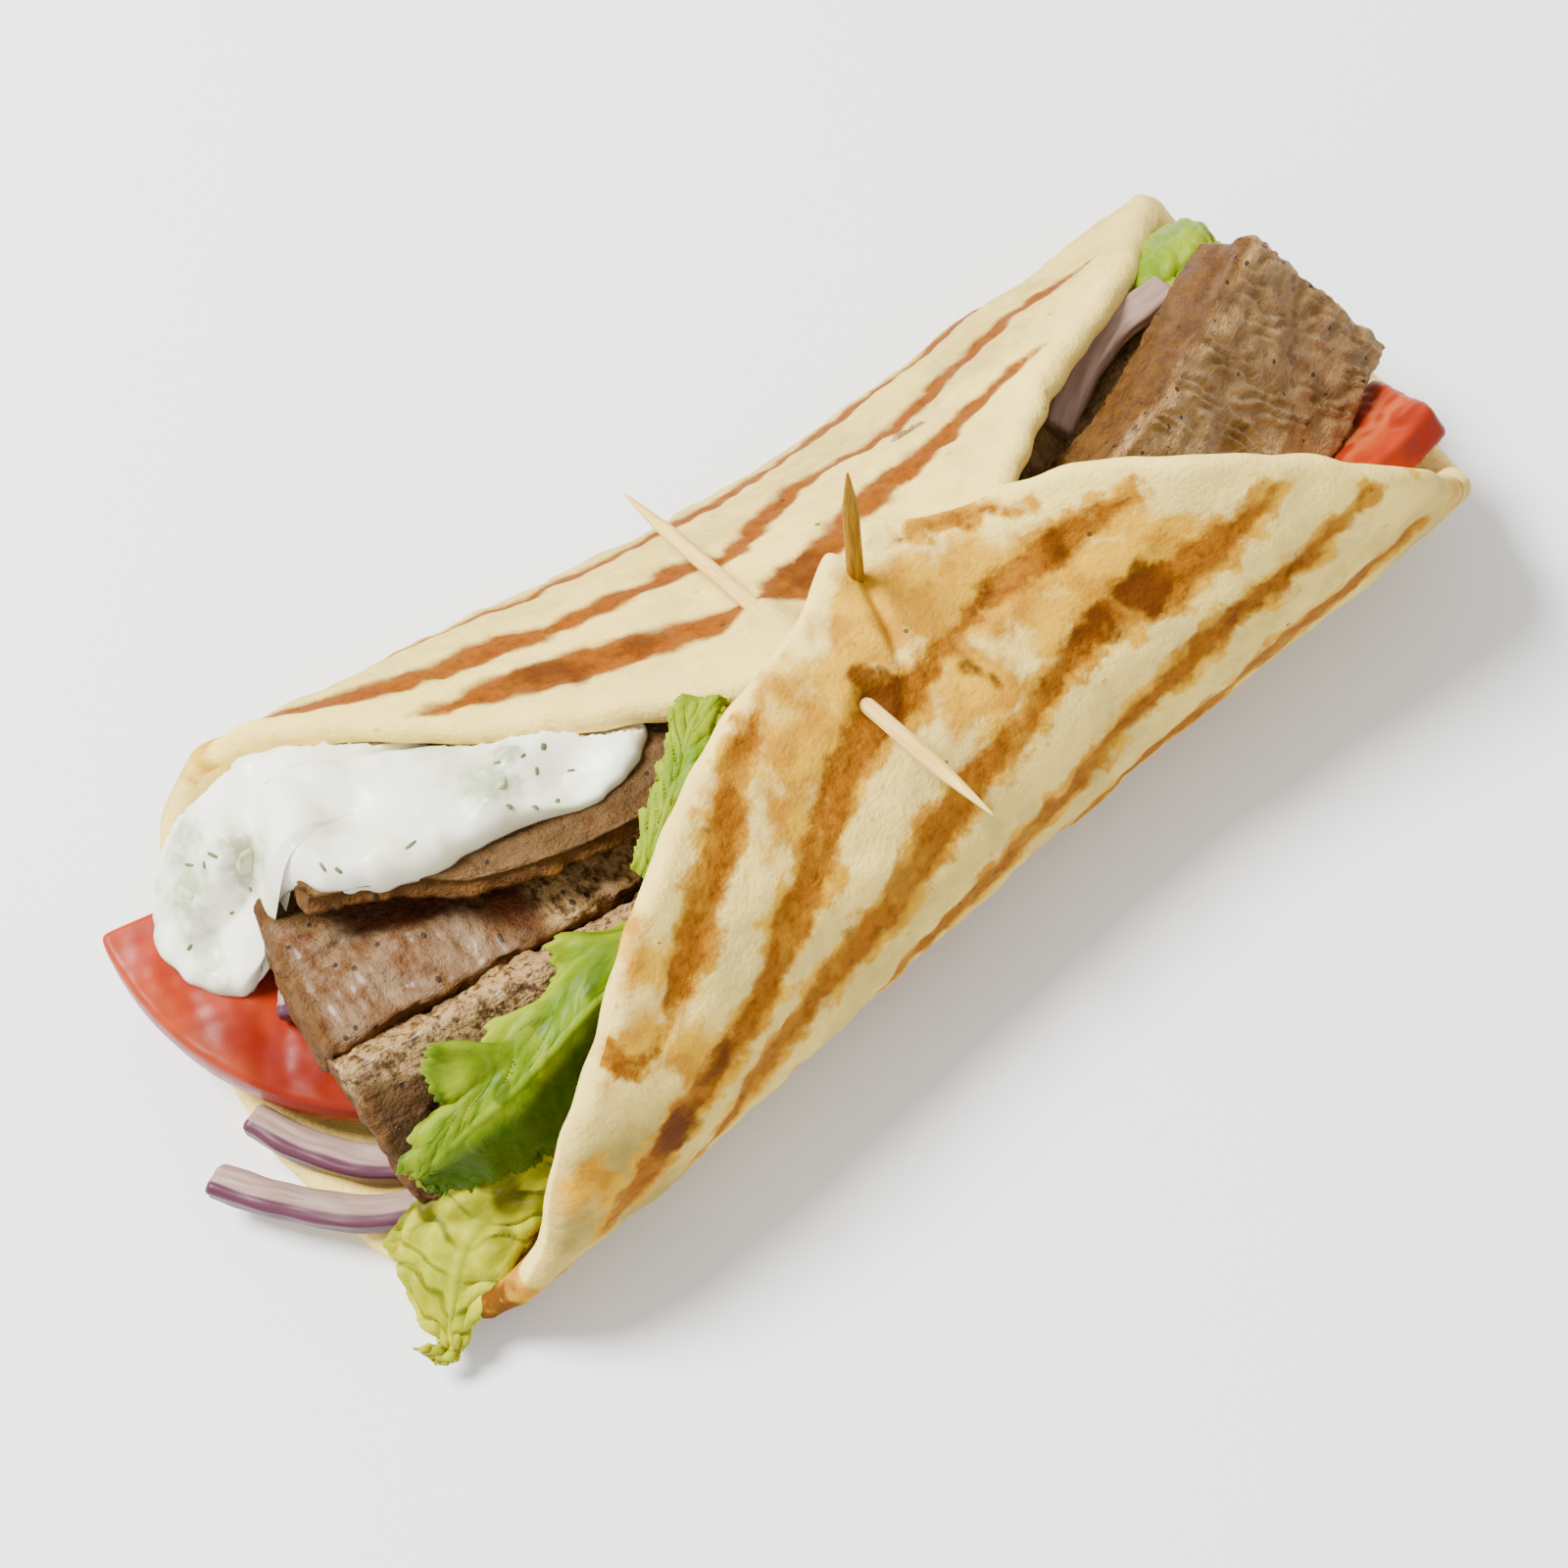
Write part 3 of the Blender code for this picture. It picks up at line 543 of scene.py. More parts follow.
def bread_finish(settings):
    """Cream dough, golden round the grill marks and on the patches, brown in the marks, with dark spots, and
    with painted shade that darkens the cream towards the ends and the lower part of the near flap and on a
    band of the far flap.
    """
    made = Finish(
        "flatbread", Roughness=0.75, Subsurface_Weight=0.05, Subsurface_Scale=0.002,
        Specular_IOR_Level=0.06,
    )
    made.shader.inputs["Subsurface Radius"].default_value = (1.0, 0.6, 0.25)
    flat = made.layer("flat", vector=True)
    grill, gold, char, rim = (made.layer(name) for name in ("grill", "gold", "char", "rim"))
    crisp, toned = made.layer("crisp"), made.layer("toned")
    patches = made.group(shared("Mottling", mottling), "Mask", Vector=flat, Scale=0.085)
    freckles = made.group(shared("Mottling", mottling), "Mask", Vector=flat, Scale=0.36)
    cream, gold_tone, brown_tone = tuple(settings.cream), tuple(settings.gold), tuple(settings.brown)
    colour = made.mix(patches, cream, tinted(cream, 0.73, 0.75, 0.86))
    colour = made.mix(made.sum(freckles, 0.30, "MULTIPLY"), colour, tinted(cream, 0.73, 0.66, 0.40))
    colour = made.mix(made.sum(rim, 0.6, "MULTIPLY"), colour, tinted(cream, 1.04, 1.04, 1.06))
    # Painted shade: the cream darkens where the flaps turn away from the light.
    colour = made.mix(
        made.sum(toned, made.span(patches, 0, 1, 0.7, 1.0), "MULTIPLY"), colour, (0.330, 0.240, 0.050),
    )

    def ragged(scale, reach):
        """A noise about zero that moves an edge in and out by up to the reach."""
        wander = made.sum(made.noise(flat, scale, 4.0, 0.62), -0.5)
        return made.sum(made.sum(wander, reach, "MULTIPLY"), crisp, "MULTIPLY")

    close = made.sum(grill, made.span(crisp, 0.4, 1.0, -1.9, 0.0))
    warm = made.span(made.sum(close, ragged(0.22, 9.0)), -2.9, 1.0)
    warm = made.sum(made.sum(warm, 0.9, "MULTIPLY"), gold, "MAXIMUM")
    golden = made.span(
        made.sum(warm, made.sum(made.noise(flat, 0.33, 4.0, 0.6), 0.9, "MULTIPLY")), 0.66, 1.22,
    )
    pale_gold = tinted(gold_tone, 1.44, 1.78, 6.0)
    amber = made.mix(made.span(made.noise(flat, 0.16, 3.0), 0.40, 0.62), pale_gold, gold_tone)
    colour = made.mix(made.sum(golden, 0.94, "MULTIPLY"), colour, amber)
    toasted = made.span(made.sum(grill, ragged(0.50, 3.2)), -0.6, 0.9)
    far = made.span(made.node("ShaderNodeSeparateXYZ", {"Vector": flat}).outputs["Y"], -5.0, 5.0)
    strong = made.span(made.noise(flat, 0.14, 3.0), 0.34, 0.52, 0.66, 0.97)
    strong = made.sum(strong, made.sum(far, 0.95, "MULTIPLY"), "MAXIMUM")
    depth = made.sum(made.noise(flat, 0.75, 3.0), made.sum(char, 0.45, "MULTIPLY"))
    deep = made.span(depth, 0.34, 0.85)
    yellower = made.mix(deep, tinted(brown_tone, 1.12, 1.15, 1.0), tinted(brown_tone, 0.55, 0.45, 0.5))
    redder = made.mix(deep, tinted(brown_tone, 0.84, 0.62, 0.5), tinted(brown_tone, 0.43, 0.30, 0.5))
    brown = made.mix(far, yellower, redder)
    colour = made.mix(made.sum(toasted, made.sum(strong, char, "MAXIMUM"), "MULTIPLY"), colour, brown)
    spot = made.span(made.sum(char, made.noise(flat, 0.45, 3.0)), 0.98, 1.55)
    colour = made.mix(made.sum(spot, 0.92, "MULTIPLY"), colour, (0.095, 0.025, 0.002))
    flecks = made.group(shared("Specks", specks), "Mask", Vector=flat, Scale=0.30, Size=0.13, Share=0.34)
    colour = made.mix(made.sum(flecks, 0.45, "MULTIPLY"), colour, (0.42, 0.22, 0.012))
    dots = made.group(shared("Specks", specks), "Mask", Vector=flat, Scale=0.17, Size=0.055, Share=0.40)
    colour = made.mix(made.sum(dots, 0.8, "MULTIPLY"), colour, (0.045, 0.030, 0.008))
    height = made.sum(made.sum(made.noise(flat, 1.6, 4.0), 0.5, "MULTIPLY"), made.noise(flat, 0.5, 5.0, 0.6))
    return made.done(colour, made.span(toasted, 0, 1, 0.76, 0.60), height, strength=0.6, distance=0.0007)


def build_bread(settings):
    """Rings of points from the middle of the outer face, round the rim, to the middle of the inner face.

    A ring at share s of the outline lies at s times the outline, and the rim is half a circle.
    """
    directions = np.concatenate([
        np.linspace(264, 278, 80, endpoint=False), np.linspace(278, 624, 500, endpoint=False),
    ])
    around = len(directions)
    half = settings.thickness / MM / 2
    outer = np.linspace(0.03, 0.993, 104)
    bend = np.radians(np.linspace(-90, 90, 13))
    shares = np.concatenate([outer, np.ones(len(bend)), outer[::-2]])
    insets = np.concatenate([
        np.full(len(outer), half), half * (1 - np.cos(bend)), np.full(len(outer[::-2]), half),
    ])
    depths = np.concatenate([
        np.zeros(len(outer)), half * (1 + np.sin(bend)), np.full(len(outer[::-2]), 2 * half),
    ])
    u, v = bread_rim(np.broadcast_to(directions, (len(shares), around)), insets[:, None])
    flat = np.stack([shares[:, None] * u, BREAD_SHIFT + shares[:, None] * (v - BREAD_SHIFT)], axis=-1)
    depth = np.broadcast_to(depths[:, None], flat.shape[:2])
    outside = 1 - depth / (2 * half)
    grill = np.where(depth < 1.0, grill_field(flat), -30.0)
    relief = settings.relief * bread_relief(flat, grill)
    under = 0.22 * waves(flat, 15, 21) + 0.12 * waves(flat, 6, 22)
    shifted = depth - outside * relief - (1 - outside) * (under + pucker(flat[..., 0], flat[..., 1]))
    shifted = np.where(depth < 0.01, np.maximum(shifted, -4.0), shifted)
    rest = (np.abs(flat[..., 1]) < 22) & (depth < 0.01)
    shifted = np.where(rest, np.maximum(shifted, 0.0), shifted)
    rings = bread_surface(flat[..., 0], flat[..., 1], shifted)
    middle = bread_surface(np.zeros(2), np.full(2, BREAD_SHIFT), np.array([0.0, 2 * half]))
    points, faces = closed_form(rings, middle[0], middle[1])
    laid = np.concatenate([flat, depth[..., None]], axis=-1).reshape(-1, 3)
    ends = np.array([[0, BREAD_SHIFT, 0], [0, BREAD_SHIFT, 2 * half]])

    def layer(values, end=0.0):
        """The values of all rings, and one value for both closing points."""
        return np.append(values.ravel(), [end, end])

    astray = np.stack([waves(flat, 9, 71), waves(flat, 9, 72)], axis=-1)
    astray = astray * 1.6 + 0.7 * np.stack([waves(flat, 3.4, 73), waves(flat, 3.4, 74)], axis=-1)
    toasted = (outside > 0.1) | (flat[..., 0] < -70)
    gold = np.clip((discs(flat + astray, GOLD_PATCHES) + 3.0) / 6.5, 0, 1) * toasted
    char = np.clip((discs(flat + astray, CHAR_SPOTS) + 1.0) / 3.0, 0, 1) * toasted
    # Painted shade on the outer face: darker towards both ends and the lower part of the near flap, and on a
    # band of the far flap.
    shaded_flap_ends = 0.85 * smooth((-flat[..., 0] - 48) / 18) + 0.36 * smooth((flat[..., 0] - 56) / 14)
    toned = (shaded_flap_ends + 0.42 * smooth((flat[..., 1] + 66) / 14)) * smooth((-flat[..., 1] - 24) / 12)
    toned = toned * (1 - 0.7 * smooth((shares[:, None] - 0.93) / 0.05) * smooth((-flat[..., 1] - 56) / 10))
    toned = toned + 0.34 * smooth((62 - flat[..., 1]) / 10) * smooth((flat[..., 1] - 20) / 10)
    toned = np.clip(toned, 0, 1.0) * (outside > 0.5)
    crisp = np.where(flat[..., 1] > 0, 0.40, 1.0)
    from_edge = np.broadcast_to(((1 - shares) * BREAD_RADIUS)[:, None], depth.shape)
    return piece(
        "bread", "flatbread", "flatbread", points, faces, bread_finish(settings),
        flat=np.concatenate([laid, ends]), grill=layer(grill, -30.0), gold=layer(gold), char=layer(char),
        rim=layer(1 - smooth(from_edge / 7.0)), crisp=layer(crisp, 1.0), toned=layer(toned),
    )


# ---------------------------------------------------------------- toothpicks

PICK_LENGTH = 65.0
PICK_TAPER = 9.0
TOOTHPICKS = {
    "toothpick_across": ((-7.9, 24.6, 35.0), (-8.1, -40.0, 42.5)),
    "toothpick_upright": ((3.0, -6.5, 4.7), (0.1, -7.7, 69.5)),
}


def wood_finish(name, pale, dark):
    """Fine grain drawn out along the stick, between a pale and a darker wood colour."""
    made = Finish(name, Roughness=0.6, Specular_IOR_Level=0.12)
    grain = made.layer("grain", vector=True)
    stretched = made.node("ShaderNodeMapping", {"Vector": grain, "Scale": (1.6, 1.6, 0.10)}).outputs[0]
    lines = made.noise(stretched, 1.6, 5.0, 0.65)
    broad = made.noise(stretched, 0.5, 2.0)
    colour = made.mix(made.span(lines, 0.35, 0.68), pale, dark)
    colour = made.mix(made.span(broad, 0.45, 0.75, 0.0, 0.5), colour, dark)
    return made.done(colour, made.span(lines, 0.3, 0.7, 0.48, 0.62), lines, strength=0.35, distance=0.0002)


def build_toothpick(name, tips, finish, diameter):
    """A circle carried along a straight line, whose radius falls to a blunt point at both ends.

    Radius at distance d from an end is the full radius times 0.10 + 0.90 * (d / taper) ** 0.86,
    blunted over the last fraction of a millimetre, with a little whittling.
    """
    start, end = np.array(tips[0], float), np.array(tips[1], float)
    way = unit(end - start)
    side = unit(np.cross(way, [1.0, 0.3, 0.2]))
    other = np.cross(way, side)
    along = np.concatenate([
        [0.0, 0.08, 0.2, 0.4], np.linspace(0.8, PICK_TAPER, 22), np.linspace(10, 32.5, 30),
    ])
    along = np.concatenate([along, PICK_LENGTH - along[-2::-1]])
    turns = np.linspace(0, 2 * math.pi, 28, endpoint=False)
    from_end = np.minimum(along, PICK_LENGTH - along)
    radius = diameter / 2 * (0.10 + 0.90 * np.clip(from_end / PICK_TAPER, 0, 1) ** 0.86)
    radius *= smooth(0.35 + from_end / 0.4)
    surface = np.stack([
        radius[:, None] * np.cos(turns),
        radius[:, None] * np.sin(turns),
        np.repeat(along[:, None], len(turns), axis=1),
    ], axis=-1)
    whittled = 1 + 0.02 * waves(surface * [1, 1, 0.15], 1.6, 31)
    cross = surface[..., :2] * whittled[..., None]
    rings = start + cross[..., :1] * side + cross[..., 1:] * other + surface[..., 2:] * way
    points, faces = closed_form(rings, start, end)
    grain = np.concatenate([surface.reshape(-1, 3), [[0, 0, 0], [0, 0, PICK_LENGTH]]])
    return piece(name + "_stick", name, "toothpick", points, faces, finish, grain=grain)


# ---------------------------------------------------------------- bars: meat, onion and tomato wedge


def bar(path, width, thickness, slant, corner, rows, columns, cap=5):
    """A rounded bar carried along a smooth path, closed at both ends.

    The section is a rounded rectangle, walked evenly by its own length. Each path station is
    (x, y, z, lean of the broad face towards the near side in degrees). At the ends the section
    shrinks towards its middle while the surface turns over a rounded edge. Returns the rings and
    each point's (along, across, through) in the bar.
    """
    line = curve(path, rows)
    centre, roll = line[:, :3], np.radians(line[:, 3])[:, None]
    forward = unit(np.gradient(centre, axis=0))
    side = unit(np.cross([0.0, 0.0, 1.0], forward))
    up = np.cross(forward, side)
    across = side * np.cos(roll) + up * np.sin(roll)
    normal = np.cross(forward, across)
    fine = np.linspace(0, 2 * math.pi, 721)
    flat = np.sign(np.cos(fine)) * (width / 2 - corner) + corner * np.cos(fine)
    tall = np.sign(np.sin(fine)) * (thickness / 2 - corner) + corner * np.sin(fine)
    walked = np.append(0, np.cumsum(np.hypot(np.diff(flat), np.diff(tall))))
    at = np.linspace(0, walked[-1], columns, endpoint=False)
    flat, tall = np.interp(at, walked, flat), np.interp(at, walked, tall)
    bend = np.radians(np.linspace(0, 90, 5))
    inset, push = corner * (1 - np.sin(bend)), corner * (1 - np.cos(bend))
    shrink = np.linspace(0.06, 0.92, cap)
    steps = np.concatenate([np.zeros(cap), push[:-1]])
    scale_w = np.concatenate([shrink * (1 - 2 * inset[0] / width), 1 - 2 * inset[:-1] / width])
    scale_t = np.concatenate([shrink * (1 - 2 * inset[0] / thickness), 1 - 2 * inset[:-1] / thickness])
    length = np.append(0, np.cumsum(np.linalg.norm(np.diff(centre, axis=0), axis=1)))
    index = np.concatenate([np.zeros(len(steps), int), np.arange(rows), np.full(len(steps), rows - 1)])
    shift = np.concatenate([steps - corner, np.zeros(rows), (corner - steps)[::-1]])
    scale_w = np.concatenate([scale_w, np.ones(rows), scale_w[::-1]])[:, None]
    scale_t = np.concatenate([scale_t, np.ones(rows), scale_t[::-1]])[:, None]
    lean = np.interp(length[index], [0, length[-1]], slant)[:, None] * flat * scale_w / width
    wide, high = flat * scale_w, tall * scale_t
    ahead = shift[:, None] + lean
    rings = (
        centre[index][:, None]
        + across[index][:, None] * wide[..., None]
        + normal[index][:, None] * high[..., None]
        + forward[index][:, None] * ahead[..., None]
    )
    own = np.stack([length[index][:, None] + ahead, wide, high], axis=-1)
    return rings, own


def normals_of(rings, closed=True):
    """Unit normals of a grid: the cross product of its two central differences."""
    along = np.gradient(rings, axis=0)
    if closed:
        around = (np.roll(rings, -1, axis=1) - np.roll(rings, 1, axis=1)) / 2
    else:
        around = np.gradient(rings, axis=1)
    return unit(np.cross(along, around))


def outward(rings, normals):
    """Normals turned away from the middle of each ring."""
    away = rings - rings.mean(axis=1, keepdims=True)
    facing = np.sign(np.einsum("ijk,ijk->", normals, away))
    return normals * (facing or 1.0)


# Each strip: its path of (x, y, z, lean), width, thickness and the slant of its two ends.
MEATS = {
    "meat_top": (
        ((-68, 16, 30.2, -10), (-58, 11, 29, -10), (-38, 1.3, 27.4, -14), (-8, -2, 26.3, -8)),
        20.5, 7.0, (-3, 2),
    ),
    "meat_middle": (
        ((-76.5, 7.8, 24.3, -1), (-58, 4, 22.1, -8), (-38, 0.5, 19.5, -13), (-8, 0.5, 17.5, -8)),
        21.0, 7.0, (2.5, 2),
    ),
    "meat_near": (
        ((-80, -12, 19, 45), (-58, -17.6, 18.6, 45), (-38, -21, 17.8, 44), (-10, -21.2, 17.4, 40),
         (18, -21.5, 16.2, 37)),
        21.0, 7.0, (-2, 2),
    ),
    "meat_far": (
        (
            (9, -2.5, 17.2, 40), (24, -7.5, 17.4, 46), (40, -11.4, 18.2, 51), (56, -7.4, 18.8, 52),
            (70, -3, 18.8, 52),
        ),
        22.0, 8.0, (0, -3),
    ),
    "meat_broad": (
        ((22, -19.3, 22, 48), (40, -19.4, 24.5, 51), (57, -15.2, 25.1, 52), (76.5, -8.4, 25.1, 52)),
        30.0, 10.0, (0, -8),
    ),
}


def meat_finish(settings):
    """Fine crumbly brown meat: paler where glossy or frosted with fat, darker on its cut sides, with painted
    shade on the near strip's lower side and painted light on the far strip.
    """
    made = Finish(
        "gyro_meat", Roughness=0.5, Subsurface_Weight=0.03, Subsurface_Scale=0.0015,
        Specular_IOR_Level=0.16,
    )
    made.shader.inputs["Subsurface Radius"].default_value = (1.0, 0.4, 0.2)
    made.shader.inputs["Coat Roughness"].default_value = 0.30
    grain = made.layer("grain", vector=True)
    cut, pale, frost_and_painted_light, dark, broad = (made.layer(name) for name in ("cut", "pale", "frost_and_painted_light", "dark", "broad"))
    fibre = made.node("ShaderNodeMapping", {"Vector": grain, "Scale": (0.55, 1.0, 1.0)}).outputs[0]
    patches = made.group(shared("Mottling", mottling), "Mask", Vector=fibre, Scale=0.13)
    crumbs = made.group(shared("Mottling", mottling), "Mask", Vector=fibre, Scale=0.70)
    brown, tan = tuple(settings.brown), tuple(settings.tan)
    colour = made.mix(patches, tinted(brown, 0.52, 0.47, 0.34), brown)
    lighter = made.mix(patches, tinted(tan, 0.52, 0.45, 0.33), tan)
    colour = made.mix(broad, colour, lighter)
    colour = made.mix(made.sum(crumbs, 0.50, "MULTIPLY"), colour, (0.052, 0.021, 0.003))
    side = made.mix(crumbs, (0.120, 0.046, 0.0042), (0.062, 0.022, 0.0020))
    colour = made.mix(made.sum(cut, 0.96, "MULTIPLY"), colour, side)
    blush = made.group(shared("Mottling", mottling), "Mask", Vector=made.sum_vector(grain, 11.0), Scale=0.24)
    colour = made.mix(pale, colour, made.mix(blush, (0.225, 0.138, 0.068), (0.120, 0.045, 0.009)))
    rime = made.span(made.noise(grain, 0.75, 5.0, 0.7), 0.38, 0.56)
    # Paler frosting of fat, and on the far strip painted light that makes it read as lit down its gap.
    colour = made.mix(
        made.sum(made.sum(frost_and_painted_light, rime, "MULTIPLY"), 0.90, "MULTIPLY"), colour, (0.440, 0.270, 0.105),
    )
    # dark: a dark red patch on the middle strip, and painted shade on the near strip's lower near side.
    colour = made.mix(dark, colour, made.mix(crumbs, (0.105, 0.024, 0.003), (0.038, 0.009, 0.002)))
    pepper = made.group(shared("Specks", specks), "Mask", Vector=grain, Scale=0.55, Size=0.20, Share=0.30)
    colour = made.mix(made.sum(pepper, 0.85, "MULTIPLY"), colour, (0.014, 0.007, 0.003))
    moved = made.sum_vector(grain, 37.0)
    spots = made.group(shared("Specks", specks), "Mask", Vector=moved, Scale=0.30, Size=0.21, Share=0.45)
    colour = made.mix(made.sum(spots, 0.55, "MULTIPLY"), colour, (0.080, 0.022, 0.003))
    rough = made.span(made.noise(grain, 0.9, 4.0), 0.35, 0.7, 0.36, 0.66)
    height = made.sum(
        made.noise(fibre, 0.9, 5.0, 0.65), made.sum(made.noise(grain, 2.4, 3.0), 0.5, "MULTIPLY"),
    )
    shine = made.sum(made.sum(pale, frost_and_painted_light), made.sum(broad, 0.6, "MULTIPLY"))
    coat = made.span(made.sum(shine, made.noise(grain, 0.22, 3.0), "MULTIPLY"), 0.15, 0.60, 0.0, 0.34)
    return made.done(colour, rough, height, strength=0.8, distance=0.0010, coat=coat)


def build_meat(name, finish, crumble):
    """A bar with torn, crumbly edges: fields of short waves move its points along their normals."""
    path, width, thickness, slant = MEATS[name]
    corner = 1.3
    rings, own = bar(path, width, thickness, slant, corner, rows=150, columns=124, cap=7)
    normal = outward(rings, normals_of(rings))
    seed = 100 + 10 * list(MEATS).index(name)
    stretched = own * [0.45, 1.0, 1.0]
    edge = smooth((np.abs(own[..., 1]) - width / 2 + 3.0) / 3.0)
    lift = 0.35 * waves(stretched, 9, seed) + 0.22 * waves(stretched, 3.6, seed + 1)
    lift += 0.12 * waves(own, 1.7, seed + 2)
    crumbly = crumble * (0.35 if name == "meat_broad" else 1.0)
    lift -= 0.55 * crumbly * edge * smooth(waves(own, 3.2, seed + 3) - 0.1)
    lift -= 0.9 * crumbly * smooth((waves(own * [0.8, 1, 1], 5.0, seed + 4) - 0.95) / 0.5)
    if name == "meat_broad":
        wrinkle = own[..., 0] * 0.9 + own[..., 1] * 0.55 + 1.5 * waves(own, 6, seed + 5)
        lift += 0.40 * np.sin(wrinkle * 2.6) * smooth(0.7 + waves(own, 12, seed + 6)) * (1 - edge)
    if name == "meat_far":
        behind = smooth((own[..., 1] - 2) / 6) * smooth(-own[..., 2] / 2)
        behind = behind * smooth((own[..., 0] - 4) / 8) * smooth((40 - own[..., 0]) / 8)
        rings = rings + behind[..., None] * np.array([0.0, 6.0, 9.0])
    if name == "meat_top":
        near = smooth((-own[..., 1] - 3.0) / 7.0)
        rings = rings + (near * smooth((20 - own[..., 0]) / 8))[..., None] * np.array([0.0, 2.0, 0.6])
        lift = lift + near * np.where(own[..., 2] < 0, -3.4, -1.2) * smooth(np.abs(own[..., 2]) / 1.5)
    if name == "meat_middle":
        near = smooth((-own[..., 1] - 4.0) / 6.0)
        rings = rings + near[..., None] * np.array([0.0, -2.2, -0.9])
        torn = own[..., 0] - 33 - 0.5 * own[..., 1] + 0.6 * waves(own, 4, 181)
        lift = lift - 1.9 * np.exp(-((torn / 1.0) ** 2)) * smooth((own[..., 1] + 6) / 4) * smooth(own[..., 2])
    rings = rings + normal * (lift - 0.25)[..., None]
    points, faces = closed_form(rings, rings[0].mean(axis=0), rings[-1].mean(axis=0))
    ends = own[[0, -1]].mean(axis=1)
    along = own[..., 0]
    cut = smooth((np.abs(own[..., 1]) - (width / 2 - 0.9)) / 0.8)
    at_end = np.maximum(smooth((1.0 - along) / 1.2), smooth((along - along.max() + 1.0) / 1.2))
    cut = np.maximum(cut, at_end)
    pale, frost_and_painted_light, dark = np.zeros_like(cut), np.zeros_like(cut), np.zeros_like(cut)
    across, up = own[..., 1], own[..., 2]
    if name == "meat_middle":
        near = 0.8 - 0.55 * (along - 10) - across + 2.0 * waves(own, 7, 177)
        pale = smooth(up - 2.2) * smooth(near / 3 + 0.5) * smooth((27 - along) / 5) * (1 - 0.7 * cut)
        dark = 0.85 * smooth(up) * smooth(0.5 - near / 3) * smooth((along - 5) / 4) * smooth((30 - along) / 4)
        frost_and_painted_light = smooth(up - 2) * smooth((along - 27) / 3) * smooth((-across - 2) / 3)
    if name == "meat_top":
        pale = 0.10 * smooth(up - 1.5) * (1 - cut)
    if name == "meat_near":
        ragged = across - 4.0 + waves(own, 5, 180)
        frost_and_painted_light = smooth((across - width / 2 + 1.2) / 0.8) + 0.95 * smooth(up - 2) * smooth(ragged / 3)
        # Painted shade: darker along the lower near side of this strip.
        dark = 0.50 * smooth((-across - 1.0) / 5) * smooth(up)
    if name == "meat_broad":
        frosted = smooth(0.5 + waves(own * [1, 1, 0], 10, 178))
        frost_and_painted_light = 0.75 * smooth(up - 3.5) * frosted * smooth((44 - along) / 16)
    # Painted light: the far strip, seen only down a shaded gap, gets the pale tan of a broad face and
    # frosting so that it reads as lit.
    if name == "meat_far":
        frost_and_painted_light, cut = 0.75 * smooth(0.6 + waves(own, 6, 179)), np.zeros_like(cut)
    broad = np.full_like(cut, {"meat_broad": 1.0, "meat_far": 0.9, "meat_top": 0.16}.get(name, 0.0))
    layers = {"cut": cut, "pale": pale, "frost_and_painted_light": np.clip(frost_and_painted_light, 0, 1), "dark": dark, "broad": broad}
    ends_of = {"cut": 1.0, "pale": 0.0, "frost_and_painted_light": 0.0, "dark": 0.0, "broad": broad[0, 0]}
    return piece(
        name + "_strip", name, "gyro_meat", points, faces, finish,
        grain=np.concatenate([own.reshape(-1, 3), ends]) + seed,
        **{key: np.append(values.ravel(), [ends_of[key]] * 2) for key, values in layers.items()},
    )


# Each strip's path of (x, y, z, lean).
ONIONS = {
    "onion_left_upper": ((-88.6, 3.8, 6.3, 0), (-85.7, -4, 6.1, 0), (-79.5, -12.3, 6, 0), (-68, -17, 6, 0)),
    "onion_left_lower": (
        (-96.7, 1.0, 6.1, 0), (-92.9, -5.9, 6.1, 0), (-85.5, -15.3, 6.2, 0), (-72, -22.6, 6.7, 4),
    ),
    "onion_left_inner": ((-77.9, 8.5, 17.7, 6), (-75, 6.2, 17.7, 6), (-71, 3, 17.6, 6)),
    "onion_right": ((39.3, -3.0, 29.8, 0), (46, 0.0, 30.2, 0), (54, 2.0, 30.4, 0), (62.5, 1.6, 30.6, 0)),
}


def onion_finish(settings):
    """Pale ribbed flesh that deepens to purple on the skin side."""
    made = Finish(
        "red_onion", Roughness=0.36, Subsurface_Weight=0.12, Subsurface_Scale=0.0012,
        Specular_IOR_Level=0.2,
    )
    made.shader.inputs["Subsurface Radius"].default_value = (1.0, 0.6, 0.7)
    grain, skin = made.layer("grain", vector=True), made.layer("skin")
    lines = made.node("ShaderNodeMapping", {"Vector": grain, "Scale": (0.10, 1.1, 1.1)}).outputs[0]
    stripes = made.noise(lines, 1.1, 4.0, 0.6)
    flesh, skin_tone = tuple(settings.flesh), tuple(settings.skin)
    colour = made.mix(made.span(stripes, 0.30, 0.85), flesh, tinted(flesh, 0.60, 0.51, 0.61))
    purple = made.mix(stripes, skin_tone, tinted(skin_tone, 0.52, 0.35, 0.56))
    colour = made.mix(
        made.span(made.sum(skin, made.sum(stripes, 0.3, "MULTIPLY")), 0.45, 0.95), colour, purple,
    )
    return made.done(colour, None, stripes, strength=0.15, distance=0.0004)


